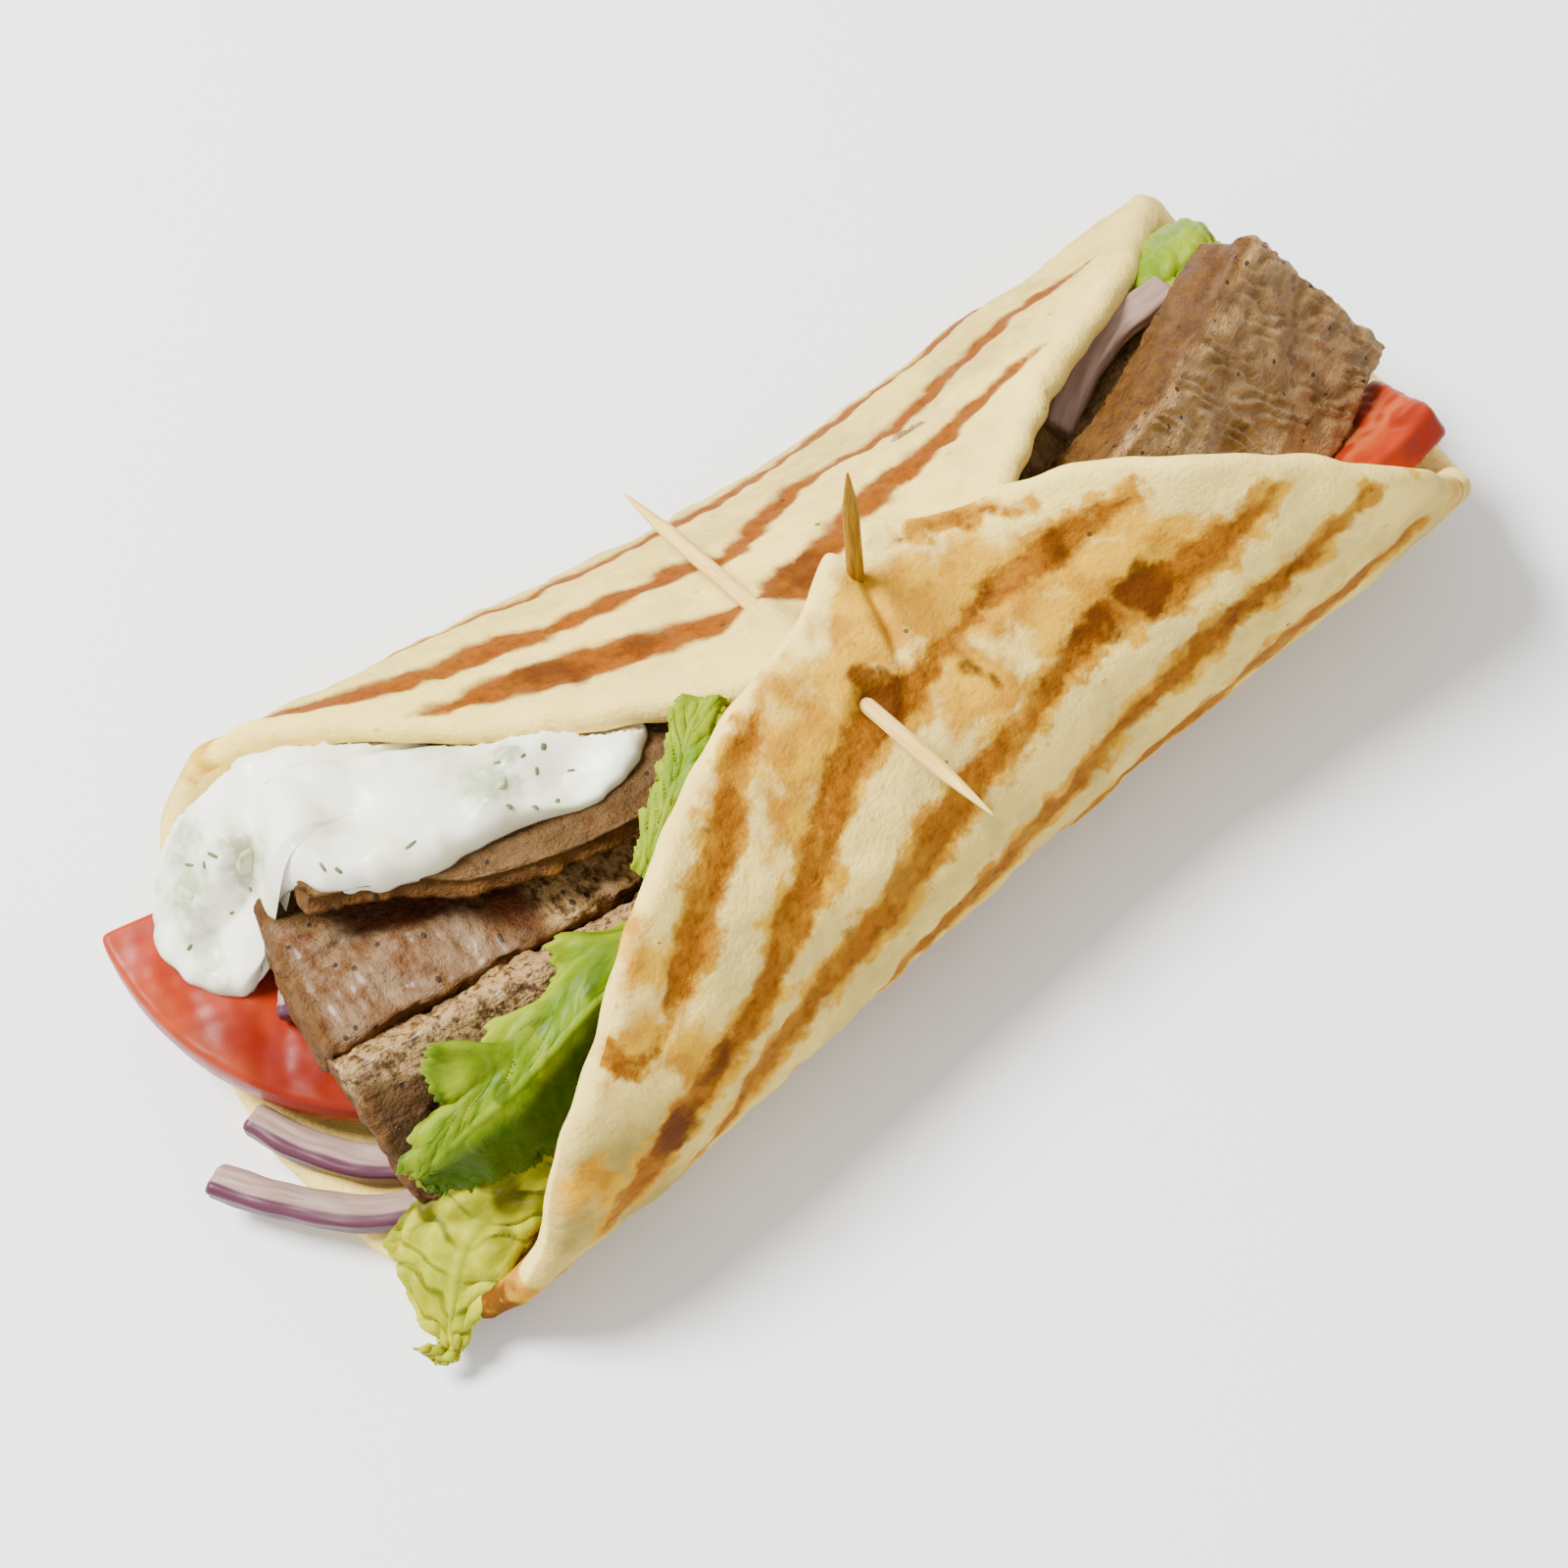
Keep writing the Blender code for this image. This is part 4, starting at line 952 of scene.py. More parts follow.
def build_onion(name, finish, width, thickness):
    """A thin bar with fine ribs along it, whose outer long side carries the purple skin."""
    rings, own = bar(
        ONIONS[name], width, thickness, (0.6, -0.5), 0.25 * thickness, rows=70, columns=44, cap=4,
    )
    seed = 300 + list(ONIONS).index(name)
    normal = outward(rings, normals_of(rings))
    lift = 0.07 * waves(own * [0.15, 1, 1], 1.2, seed) + 0.10 * waves(own, 6, seed + 9)
    rings = rings + normal * lift[..., None]
    points, faces = closed_form(rings, rings[0].mean(axis=0), rings[-1].mean(axis=0))
    ends = own[[0, -1]].mean(axis=1)
    outer = -1 if name != "onion_right" else 1
    skin = smooth((outer * own[..., 1] - (0.1 if outer < 0 else 1.4)) / 1.1)
    grain = np.concatenate([own.reshape(-1, 3), ends]) + seed
    return piece(
        name + "_strip", name, "red_onion", points, faces, finish,
        grain=grain, skin=np.append(skin.ravel(), [0, 0]),
    )


# ---------------------------------------------------------------- tomato

TOMATO_CENTRE = (-52, 20, 14)
TOMATO_RADIUS = 38.5
TOMATO_FROM, TOMATO_TO = 163, 238
TOMATO_TILT = 6.3
WEDGE_PATH = ((63, -28.6, 13.7, -46), (72, -28.2, 13.8, -44), (80, -27.2, 14.2, -42))


def tomato_finish(settings):
    """Wet red flesh with paler walls, deep red seed pockets and a darker skin."""
    made = Finish(
        "tomato", Roughness=0.36, Subsurface_Weight=0.08, Subsurface_Scale=0.002, Specular_IOR_Level=0.12,
    )
    made.shader.inputs["Subsurface Radius"].default_value = (1.0, 0.2, 0.1)
    grain = made.layer("grain", vector=True)
    skin, gel, pale = (made.layer(name) for name in ("skin", "gel", "pale"))
    cells = made.noise(grain, 0.45, 5.0, 0.6)
    broad = made.noise(grain, 0.12, 2.0)
    red, skin_tone = tuple(settings.flesh), tuple(settings.skin)
    flesh = made.mix(made.span(cells, 0.35, 0.7), red, tinted(red, 0.83, 0.70, 0.75))
    flesh = made.mix(made.span(broad, 0.42, 0.62), flesh, tinted(red, 0.61, 0.50, 0.75))
    flesh = made.mix(
        made.sum(pale, made.span(cells, 0.3, 0.6, 0.78, 1.0), "MULTIPLY"), flesh, (0.43, 0.095, 0.026),
    )
    flesh = made.mix(made.sum(gel, 0.85, "MULTIPLY"), flesh, (0.155, 0.0070, 0.0015))
    colour = made.mix(skin, flesh, skin_tone)
    return made.done(colour, made.span(cells, 0.3, 0.7, 0.30, 0.42), cells, strength=0.10, distance=0.0003)


def build_tomato_slice(finish, thickness):
    """A sector of a round slice: rings run from its middle over the top, round the edge and back below.

    The outline is a sector whose corners are rounded by averaging neighbours, and ring s of a face
    lies at s times the outline about the sector's middle.
    """
    around = 260
    turns = np.radians(np.linspace(TOMATO_FROM, TOMATO_TO, 400))
    arc = TOMATO_RADIUS * np.stack([np.cos(turns), np.sin(turns)], axis=-1)
    loop = np.concatenate([
        np.linspace([0, 0], arc[0], 120, endpoint=False), arc, np.linspace(arc[-1], [0, 0], 120),
    ])
    walked = np.append(0, np.cumsum(np.linalg.norm(np.diff(loop, axis=0), axis=1)))
    at = np.linspace(0, walked[-1], around, endpoint=False)
    outline = np.stack([np.interp(at, walked, loop[:, k]) for k in range(2)], axis=-1)
    for _ in range(6):
        outline = 0.5 * outline + 0.25 * (np.roll(outline, 1, axis=0) + np.roll(outline, -1, axis=0))
    middle = outline.mean(axis=0)
    half, rounding = thickness / 2, 1.1
    bend = np.radians(np.linspace(90, -90, 11))
    shares = np.concatenate([np.linspace(0.03, 0.98, 46), np.ones(11), np.linspace(0.98, 0.03, 46)])
    inset = np.concatenate([np.full(46, rounding), rounding * (1 - np.cos(bend)), np.full(46, rounding)])
    edge = np.sin(bend) * rounding + np.sign(np.sin(bend)) * (half - rounding)
    high = np.concatenate([np.full(46, half), edge, np.full(46, -half)])
    drawn_in = outline + inset[:, None, None] * unit(middle - outline)
    flat = middle + shares[:, None, None] * (drawn_in - middle)
    level = np.broadcast_to(high[:, None], flat.shape[:2])
    radius = np.linalg.norm(flat, axis=-1)
    wall = TOMATO_RADIUS - radius
    gel = smooth((wall - 9) / 3) * smooth((27 - wall) / 4) * smooth(0.6 + waves(flat, 16, 41))
    turned = np.degrees(np.arctan2(flat[..., 1], flat[..., 0])) % 360
    gel = np.maximum(gel, 0.95 * smooth((turned - 190 + 6 * waves(flat, 10, 44)) / 20))
    own = np.concatenate([flat, level[..., None]], axis=-1)
    skin = smooth((half - 0.5 - level) / 0.6) * smooth((3.0 - wall) / 1.0)
    lift = 0.22 * waves(own, 9, 42) + 0.05 * waves(own, 3, 43) - 0.35 * gel * (level > 0)
    pale = np.maximum(
        0.25 * smooth((4.0 - wall) / 3.0), 0.9 * smooth((flat[..., 1] + 0.10 * flat[..., 0] - 6.0) / 5.0),
    )
    top = smooth(level / half)
    local = own + np.stack([np.zeros_like(lift), np.zeros_like(lift), lift * (2 * top - 1)], axis=-1)
    turn = math.radians(TOMATO_TILT)
    tilt = np.array([[1, 0, 0], [0, math.cos(turn), -math.sin(turn)], [0, math.sin(turn), math.cos(turn)]])
    rings = local @ tilt.T + TOMATO_CENTRE
    points, faces = closed_form(rings, rings[0].mean(axis=0), rings[-1].mean(axis=0))
    ends = own[[0, -1]].mean(axis=1)
    layers = {"skin": skin, "gel": gel, "pale": pale}
    return piece(
        "tomato_left_slice", "tomato_left", "tomato", points, faces, finish,
        grain=np.concatenate([own.reshape(-1, 3), ends]),
        **{key: np.append(values.ravel(), [0, 0]) for key, values in layers.items()},
    )


def build_tomato_wedge(finish):
    """A short bar with a soft relief, whose outer long side is skin."""
    rings, own = bar(WEDGE_PATH, 15.0, 5.0, (0, 4), 0.9, rows=60, columns=90, cap=6)
    rings = rings + np.array([0.0, 0.9, 1.4])
    normal = outward(rings, normals_of(rings))
    rings = rings + normal * (0.14 * waves(own, 6, 51) + 0.06 * waves(own, 2.2, 52))[..., None]
    points, faces = closed_form(rings, rings[0].mean(axis=0), rings[-1].mean(axis=0))
    ends = own[[0, -1]].mean(axis=1)
    skin = smooth((own[..., 1] - 6.7) / 0.6)
    gel = smooth(0.2 + waves(own, 9, 53)) * 0.1
    pale = smooth(1 - np.abs(own[..., 1] + 0.5) / 5.0) * smooth(0.7 + waves(own, 3.0, 54)) * 0.9
    return piece(
        "tomato_right_wedge", "tomato_right", "tomato", points, faces, finish,
        grain=np.concatenate([own.reshape(-1, 3), ends]) + 90,
        skin=np.append(skin.ravel(), [0, 0]),
        gel=np.append(gel.ravel(), [0, 0]),
        pale=np.append(pale.ravel(), [0, 0]),
    )


# ---------------------------------------------------------------- lettuce

# Each leaf runs between lines of knots from its base to its tip, the first and last being its edges.
LEAVES = {
    "lettuce_left_upper": {
        "lines": (
            ((-42.5, -16.5, 27.5), (-48.5, -14.5, 29.5), (-52.5, -12.5, 31), (-53.5, -14.5, 29),
             (-55.5, -16, 28.5), (-58, -16.5, 28.5), (-61, -16.5, 29), (-64, -15, 30),
             (-66.5, -16, 29.5), (-69, -17.5, 28), (-71.2, -16.8, 28.5), (-70.8, -14.2, 33),
             (-72, -13.8, 33), (-73.8, -15, 30.5), (-74, -17.2, 27.5), (-73.6, -18.2, 26),
             (-75.5, -18.2, 26), (-79.5, -18, 26), (-80, -19.2, 24), (-82, -19, 23.5),
             (-81.8, -20.5, 22), (-81.5, -22, 20.5)),
            ((-44, -19.5, 30.5), (-51, -18, 31.5), (-58, -19, 30), (-64.5, -19, 30),
             (-70, -19.5, 28.5), (-76, -20, 26.5), (-81.5, -21, 22.5)),
            ((-45.5, -22, 31), (-54.5, -22, 31), (-61.5, -22.5, 29.5), (-67, -22.5, 28),
             (-73, -22, 26.5), (-78, -21.5, 24.5), (-81, -21.3, 22.5)),
            ((-48, -23.5, 27), (-56, -24.5, 26), (-62.5, -25, 24), (-67.5, -25.5, 22.5),
             (-73, -24.5, 21.5), (-78, -22.7, 21), (-81, -21.8, 21)),
            ((-49.5, -24, 24.5), (-56, -26, 22.5), (-62.5, -27.5, 19.5), (-66.5, -28, 17.8),
             (-70.5, -27.2, 17.6), (-75.5, -25.3, 18.3), (-79.5, -23, 19.5), (-81, -22.3, 20)),
        ),
        "size": (170, 100),
        "ruffle": 0.26,
        "frill": 0.7,
        "tint": 0.10,
        "veins": 6,
    },
    "lettuce_left_lower": {
        "lines": (
            ((-74, -19.5, 14.5), (-77, -19.5, 13), (-78.5, -20, 12), (-80, -19.7, 11.5),
             (-82, -19.5, 10.8), (-85, -20, 10), (-87, -20, 9), (-87.6, -20.8, 8.3), (-87.2, -22, 7.8),
             (-88, -24, 7), (-88.7, -27, 6), (-89.3, -29.5, 5), (-89.3, -31.5, 4.3),
             (-90.2, -32.6, 4.2), (-92, -31.6, 5), (-93, -31.2, 5.4)),
            ((-69, -23.5, 16.5), (-75.5, -23, 14.5), (-79.5, -23, 13.2), (-83.5, -24, 11.5),
             (-86.5, -27, 9), (-88.5, -30.5, 6.2), (-89.8, -32.8, 4.6), (-92.6, -32, 5.2)),
            ((-66.5, -28.5, 14.5), (-70.5, -29.5, 13.5), (-75, -30, 12), (-79.5, -30.5, 10.5),
             (-83.5, -31.5, 8.5), (-87, -32.5, 6), (-89.5, -33.5, 4), (-92.3, -32.6, 4.8)),
            ((-65.5, -30, 13), (-69.5, -31, 12), (-74, -31.7, 10.5), (-78, -32.3, 9), (-82.5, -33, 7),
             (-86.5, -33.6, 5), (-89, -34, 3.6), (-90.8, -34.2, 3.2), (-92.2, -33.2, 4.2)),
        ),
        "size": (150, 90),
        "ruffle": 0.5,
        "frill": 0.45,
        "tint": 0.95,
        "veins": 8,
    },
    "lettuce_middle": {
        "lines": (
            ((-22.5, -3, 38.5), (-25, -3.6, 39), (-26, -5, 38.6), (-29, -7, 38), (-32.5, -8.7, 37.5),
             (-36.5, -11.5, 36.6), (-40.5, -14, 35.2)),
            ((-20.5, -5, 39.6), (-25, -7, 40), (-29, -9.7, 39.6), (-33, -12, 38.6), (-37, -14.3, 37.4),
             (-40.6, -15.5, 35.6)),
            ((-18.5, -6.5, 38.5), (-23.5, -9.5, 38.8), (-28, -12.5, 38), (-32, -14.3, 37),
             (-36.5, -16, 36), (-40, -16.6, 35)),
        ),
        "size": (90, 60),
        "ruffle": 0.45,
        "frill": 0.7,
        "tint": 0.12,
        "veins": 7,
    },
    "lettuce_through": {
        "lines": (
            ((-30, 18, 25), (-10, 12, 24), (10, 11, 22), (30, 8, 22), (46, 5.5, 25), (57, 2.5, 28.5),
             (64, 0.8, 31), (69, 0.2, 31.5), (72.5, 1.5, 31.5)),
            ((-30, 25, 18), (-10, 18.5, 20), (10, 15.5, 19), (30, 10.5, 20.5), (46, 7.5, 23.5),
             (57, 6.2, 27.5), (64, 5, 31.2), (70, 5, 32), (74, 6, 30)),
            ((-30, 24, 9), (-10, 21.5, 11), (10, 18.5, 11.5), (30, 17, 13), (46, 12.5, 18.5),
             (57, 10.2, 23.5), (64, 9.6, 27), (70, 9.8, 27), (75, 10, 25)),
            ((-30, 16, 5.8), (-10, 15, 5.8), (10, 14, 6), (30, 13.5, 6.3), (50, 13, 8), (62, 13.5, 14),
             (70, 13.5, 17), (75.5, 13.5, 15.5)),
            ((-30, 3, 5.6), (-10, 3, 5.6), (10, 3, 5.6), (30, 3, 5.7), (50, 6, 6), (64, 9, 8),
             (75.5, 11, 9)),
            ((-30, -8, 6.5), (-10, -9, 6), (10, -6.5, 5.6), (30, -9, 5.7), (50, -9, 6), (64, -6, 6.2),
             (75, -3, 6.6)),
        ),
        "size": (150, 120),
        "ruffle": 0.6,
        "frill": 0.3,
        "tint": 0.10,
        "veins": 16,
    },
}


def lettuce_finish(settings):
    """Fresh green to yellow leaf with paler veins, a fine quilting, and painted shade in deep green where it
    turns away from the light.
    """
    made = Finish(
        "lettuce", Roughness=0.42, Subsurface_Weight=0.15, Subsurface_Scale=0.0010, Specular_IOR_Level=0.08,
    )
    made.shader.inputs["Subsurface Radius"].default_value = (0.7, 1.0, 0.05)
    grain, vein, tint = made.layer("grain", vector=True), made.layer("vein"), made.layer("tint")
    shade = made.layer("shade")
    patches = made.group(shared("Mottling", mottling), "Mask", Vector=grain, Scale=0.12)
    green, yellow_tone = tuple(settings.green), tuple(settings.yellow)
    fresh = made.mix(patches, tinted(green, 0.52, 0.70, 1.0), green)
    yellow = made.mix(patches, tinted(yellow_tone, 0.60, 0.60, 0.33), yellow_tone)
    colour = made.mix(tint, fresh, yellow)
    colour = made.mix(made.sum(vein, 0.40, "MULTIPLY"), colour, (0.230, 0.300, 0.020))
    # Painted shade: deep green on fresh leaves, olive on the yellow leaf.
    colour = made.mix(shade, colour, made.mix(tint, (0.014, 0.042, 0.002), (0.085, 0.080, 0.002)))
    small = made.node("ShaderNodeTexVoronoi", {"Vector": grain, "Scale": 0.45}, feature="DISTANCE_TO_EDGE")
    quilt = made.span(small.outputs["Distance"], 0.0, 0.25)
    height = made.sum(made.sum(quilt, 0.18, "MULTIPLY"), made.noise(grain, 0.35, 3.0))
    return made.done(colour, made.span(patches, 0, 1, 0.34, 0.48), height, strength=0.3, distance=0.0005)


def build_leaf(name, finish, thickness):
    """A leaf whose points at share b lie on a smooth curve across its lines, as a thin closed sheet.

    Each line is a smooth curve through its own knots. Side veins are ridges at even steps along
    the leaf that slant towards the tip; between them the leaf swells by the square of a sine. The
    edges are drawn in and out by short waves, and ruffled up and down. The two faces lie half a
    thickness either side of the middle surface, and a strip joins them round the edge.
    """
    leaf = LEAVES[name]
    high, wide = leaf["size"]
    lines = np.stack([curve(line, high) for line in leaf["lines"]], axis=1)
    sheet = np.stack([curve(row, wide) for row in lines])
    seed = 400 + 10 * list(LEAVES).index(name)
    a = np.linspace(0, 1, high)[:, None] * np.ones(wide)
    b = np.linspace(-1, 1, wide)[None, :] * np.ones((high, 1))
    laid = np.stack([a * high * 0.30, b * wide * 0.16], axis=-1)
    normal = normals_of(sheet, closed=False)
    normal = normal * (1.0 if normal[..., 2].mean() > 0 else -1.0)
    across = unit(np.gradient(sheet, axis=1))
    rim = smooth((np.abs(b) - 0.55) / 0.45)
    lengthwise = laid * [1, 0]
    draw = leaf["frill"] * (0.7 * waves(lengthwise, 2.1, seed + 2) + 0.6 * waves(lengthwise, 0.9, seed + 3))
    sheet = sheet + across * (np.sign(b) * rim**2 * draw)[..., None]
    phase = (a * leaf["veins"] + np.abs(b) * 1.6 + 0.25 * waves(laid, 9, seed + 4)) % 1.0
    side = np.exp(-(((phase - 0.5) / 0.07) ** 2)) * smooth(np.abs(b) * 5) * (1 - 0.6 * rim)
    main = np.exp(-((b / 0.035) ** 2)) * (1 - 0.7 * a)
    swell = np.sin(math.pi * ((phase + 0.5) % 1.0)) ** 2 * smooth(np.abs(b) * 3)
    ruffles = 0.7 * swell + rim * waves(laid, 4.5, seed) + 0.4 * waves(laid, 6, seed + 1) + 0.35 * side
    lift = leaf["ruffle"] * ruffles
    lift += 0.40 * main + 0.9 * leaf["ruffle"] * waves(laid, 14, seed + 6)
    sheet = sheet + normal * lift[..., None]
    normal = normals_of(sheet, closed=False)
    fade = np.clip(np.minimum(1 - np.abs(b), np.minimum(a, 1 - a)) * 25, 0.3, 1)
    half = thickness / 2 * fade[..., None]
    upper, lower = sheet + normal * half, sheet - normal * half
    count = high * wide
    border = np.concatenate([
        np.arange(wide), np.arange(1, high) * wide + wide - 1,
        (high - 1) * wide + np.arange(wide - 2, -1, -1), np.arange(high - 2, 0, -1) * wide,
    ])
    after = np.roll(border, -1)
    faces = [
        grid_faces(high, wide),
        grid_faces(high, wide, start=count)[:, ::-1],
        np.stack([after, border, border + count, after + count], axis=-1),
    ]
    points = np.concatenate([upper.reshape(-1, 3), lower.reshape(-1, 3)])
    vein = np.clip(main + 0.6 * side, 0, 1)
    tint = np.clip(leaf["tint"] + 0.15 * waves(laid, 12, seed + 5) + 0.30 * rim * (1 - leaf["tint"]), 0, 1)
    # Painted shade on the upper leaf's half that turns from the light and in its folds; on the lower leaf the
    # same dark mix draws darker side veins and painted shade in its folds.
    shade = np.zeros_like(a)
    if name == "lettuce_left_upper":
        shade = smooth((b - 0.05) / 0.25) * 0.8 + 0.35 * smooth((-b - 0.1) / 0.3) * smooth((b + 0.75) / 0.2)
        shade = np.maximum(shade, 0.6 * smooth((waves(laid, 7, 432) - 0.35) / 0.6))
        tint = tint * (1 - shade)
    if name == "lettuce_left_lower":
        folded = smooth(0.4 + waves(laid, 8, 431)) * smooth((0.55 - a) / 0.3)
        shade = np.clip(0.85 * side + 0.9 * folded, 0, 1)
        vein = 0.5 * main
    grain = np.concatenate([laid, np.zeros_like(a)[..., None]], axis=-1).reshape(-1, 3) + seed
    return piece(
        name + "_leaf", name, "lettuce", points, faces, finish, grain=np.tile(grain, (2, 1)),
        vein=np.tile(vein.ravel(), 2), tint=np.tile(tint.ravel(), 2), shade=np.tile(shade.ravel(), 2),
    )


# ---------------------------------------------------------------- sauce

SAUCE_MIDDLE = (-60, 15)
SAUCE_ROUNDING = 6.0  # how soon the underside rises to the edge: a lower power rises sooner
SAUCE_FOOT = 11.0  # the lowest level that the sauce hangs down to, beside the tomato slice
# The heap's outline seen from above, going round from the far wall over the open end.
SAUCE_OUTLINE = (
    (-74.5, 35.6), (-80.0, 31.0), (-84.3, 25.4), (-84.6, 19), (-81.5, 13.2), (-77.6, 13.4), (-75, 16.8),
    (-72, 15.4), (-70, 12.6), (-68.1, 9.4), (-64.8, 6.6), (-59.4, 3.4), (-55.6, 2.3), (-51.7, 1.7),
    (-47.5, 0.9), (-43, -0.8), (-38.2, -3.0), (-34, -3.2), (-30.5, -2.4), (-27.4, -0.8), (-25.6, 2),
    (-31, 8), (-38, 15), (-46, 21.5), (-54, 28), (-62, 33.5), (-69, 36.5),
)
BREAD_INSIDE = 4.0  # height of the bread's inner face in the middle
SAUCE_LIMITS = ((-104, -14), (-14, 44))
# Cucumber in the sauce: (x, y, radius).
CUCUMBER = ((-45.5, 6.2, 3.3), (-78.6, 25.2, 2.6), (-75.5, 29.0, 2.5), (-71.6, 21.0, 2.4), (-41.5, 7.6, 1.7))


def cloud(name, *layers):
    """The points of a piece already built, in millimetres, with any vector layers asked for."""
    mesh = bpy.data.objects[name].data
    points = np.empty(len(mesh.vertices) * 3)
    mesh.vertices.foreach_get("co", points)
    found = [points.reshape(-1, 3) / MM]
    for layer in layers:
        values = np.empty(len(mesh.vertices) * 3)
        mesh.attributes[layer].data.foreach_get("vector", values)
        found.append(values.reshape(-1, 3))
    return found


class HeightMap:
    """Heights over a level grid of square cells: the highest or the lowest of the points in each."""

    cell = 0.7

    def __init__(self, points, highest=True, empty=0.0):
        """Sorts the points into cells; a cell with none takes its neighbours' height, or the empty one."""
        (self.left, right), (self.near, far) = SAUCE_LIMITS
        shape = (int((right - self.left) / self.cell), int((far - self.near) / self.cell))
        place = ((points[:, :2] - (self.left, self.near)) / self.cell).astype(int)
        inside = np.all((place >= 0) & (place < shape), axis=1)
        put = np.maximum if highest else np.minimum
        start = -np.inf if highest else np.inf
        self.heights = np.full(shape, start)
        put.at(self.heights, tuple(place[inside].T), points[inside, 2])
        for axis in (0, 1):
            sides = [np.roll(self.heights, k, axis=axis) for k in (-1, 1)]
            spread = put(*sides)
            self.heights = np.where(np.isfinite(self.heights), self.heights, spread)
        self.heights = np.where(np.isfinite(self.heights), self.heights, empty)

    def blurred(self, heights):
        """Half of each height plus a quarter of its neighbours', along one axis and then the other."""
        out = heights
        for axis in (0, 1):
            out = 0.5 * out + 0.25 * (np.roll(out, 1, axis=axis) + np.roll(out, -1, axis=axis))
        return out

    def drape(self, rounds):
        """A skin pulled down on the heights: again and again blurred, and lifted back above them."""
        skin = self.heights.copy()
        for _ in range(rounds):
            skin = np.maximum(self.heights, self.blurred(skin))
        for _ in range(10):
            skin = self.blurred(skin)
        self.heights = skin
        return self

    def at(self, x, y):
        """Heights between the cell middles, in proportion to the distance from each."""
        i = np.clip((x - self.left) / self.cell - 0.5, 0, self.heights.shape[0] - 1.001)
        j = np.clip((y - self.near) / self.cell - 0.5, 0, self.heights.shape[1] - 1.001)
        i0, j0 = i.astype(int), j.astype(int)
        s, t = i - i0, j - j0
        h = self.heights
        low = h[i0, j0] * (1 - s) + h[i0 + 1, j0] * s
        high = h[i0, j0 + 1] * (1 - s) + h[i0 + 1, j0 + 1] * s
        return low * (1 - t) + high * t


def filled(x, y):
    """Level of the filling between the meat and the far wall: it falls towards the open end and the wall."""
    return 28.5 - 0.30 * np.maximum(y - 20, 0) - 1.05 * np.maximum(-72 - x, 0) - 30 * smooth((23 - y) / 11)


def sauce_top(x, y, share, under, over, depth):
    """Height of the sauce: the skin it lies on plus its depth, rounded off at the outline, below the flap."""
    flat = np.stack([x, y], axis=-1)
    lumps = 0.95 * waves(flat, 17, 61) + 0.42 * waves(flat, 8.5, 62) + 0.09 * waves(flat, 3.8, 63)
    ridge = np.exp(-(((y - 33 - 0.12 * (x + 60)) / 2.2) ** 2))
    lumps = lumps + 0.8 * ridge * smooth(0.6 + waves(flat, 22, 65))
    for cx, cy, radius in CUCUMBER:
        lumps = lumps + 0.9 * np.exp(-(((x - cx) ** 2 + (y - cy) ** 2) / radius**2))
    round_off = np.sqrt(np.clip(1 - share**9, 0, 1))
    skin = np.logaddexp(1.2 * under.at(x, y), 1.2 * filled(x, y)) / 1.2
    top = skin + 0.35 + round_off * np.maximum(depth + lumps, 1.0)
    return np.minimum(top, over.at(x, y) - 0.45)


def sauce_finish(settings):
    """Thick white yoghurt, greenish over the cucumber in it, with painted grey-green shade towards the open
    end and faint herb specks below the surface.
    """
    made = Finish("yoghurt_sauce", Roughness=0.34, Subsurface_Weight=0.25, Subsurface_Scale=0.0012)
    made.shader.inputs["Specular IOR Level"].default_value = 0.3
    made.shader.inputs["Subsurface Radius"].default_value = (1.0, 0.95, 0.75)
    made.shader.inputs["Coat Weight"].default_value = 0.15
    made.shader.inputs["Coat Roughness"].default_value = 0.16
    place, bits, white = made.place(), made.layer("bits"), tuple(settings.white)
    colour = made.mix(
        made.span(made.noise(place, 110, 3.0), 0.45, 0.75), white, tinted(white, 0.73, 0.74, 0.61),
    )
    # Green over the cucumber, and painted grey-green shade towards the open end.
    green = made.sum(bits, made.noise(place, 500, 3.0), "MULTIPLY")
    colour = made.mix(made.span(green, 0.05, 0.50, 0.0, 0.90), colour, (0.34, 0.37, 0.20))
    herb = made.group(shared("Specks", specks), "Mask", Vector=place, Scale=300.0, Size=0.17, Share=0.07)
    colour = made.mix(made.sum(herb, 0.35, "MULTIPLY"), colour, (0.16, 0.19, 0.09))
    rough = made.span(made.noise(place, 240, 3.0), 0.3, 0.7, 0.26, 0.42)
    return made.done(colour, rough, made.noise(place, 300, 3.0), strength=0.10, distance=0.0005)


def herb_finish():
    """Dark dried green, paler in patches."""
    made = Finish("herb", Roughness=0.6)
    grain = made.place()
    colour = made.mix(made.noise(grain, 900, 3.0), (0.050, 0.065, 0.018), (0.15, 0.17, 0.060))
    return made.done(colour, None, made.noise(grain, 1500, 2.0), strength=0.3, distance=0.0001)


def cucumber_finish():
    """Pale green flesh clouded with yoghurt."""
    made = Finish("cucumber", Roughness=0.25, Subsurface_Weight=0.4, Subsurface_Scale=0.0015)
    grain = made.place()
    colour = made.mix(
        made.span(made.noise(grain, 420, 4.0), 0.35, 0.65), (0.60, 0.63, 0.38), (0.36, 0.42, 0.20),
    )
    return made.done(colour, None, made.noise(grain, 700, 3.0), strength=0.3, distance=0.0002)


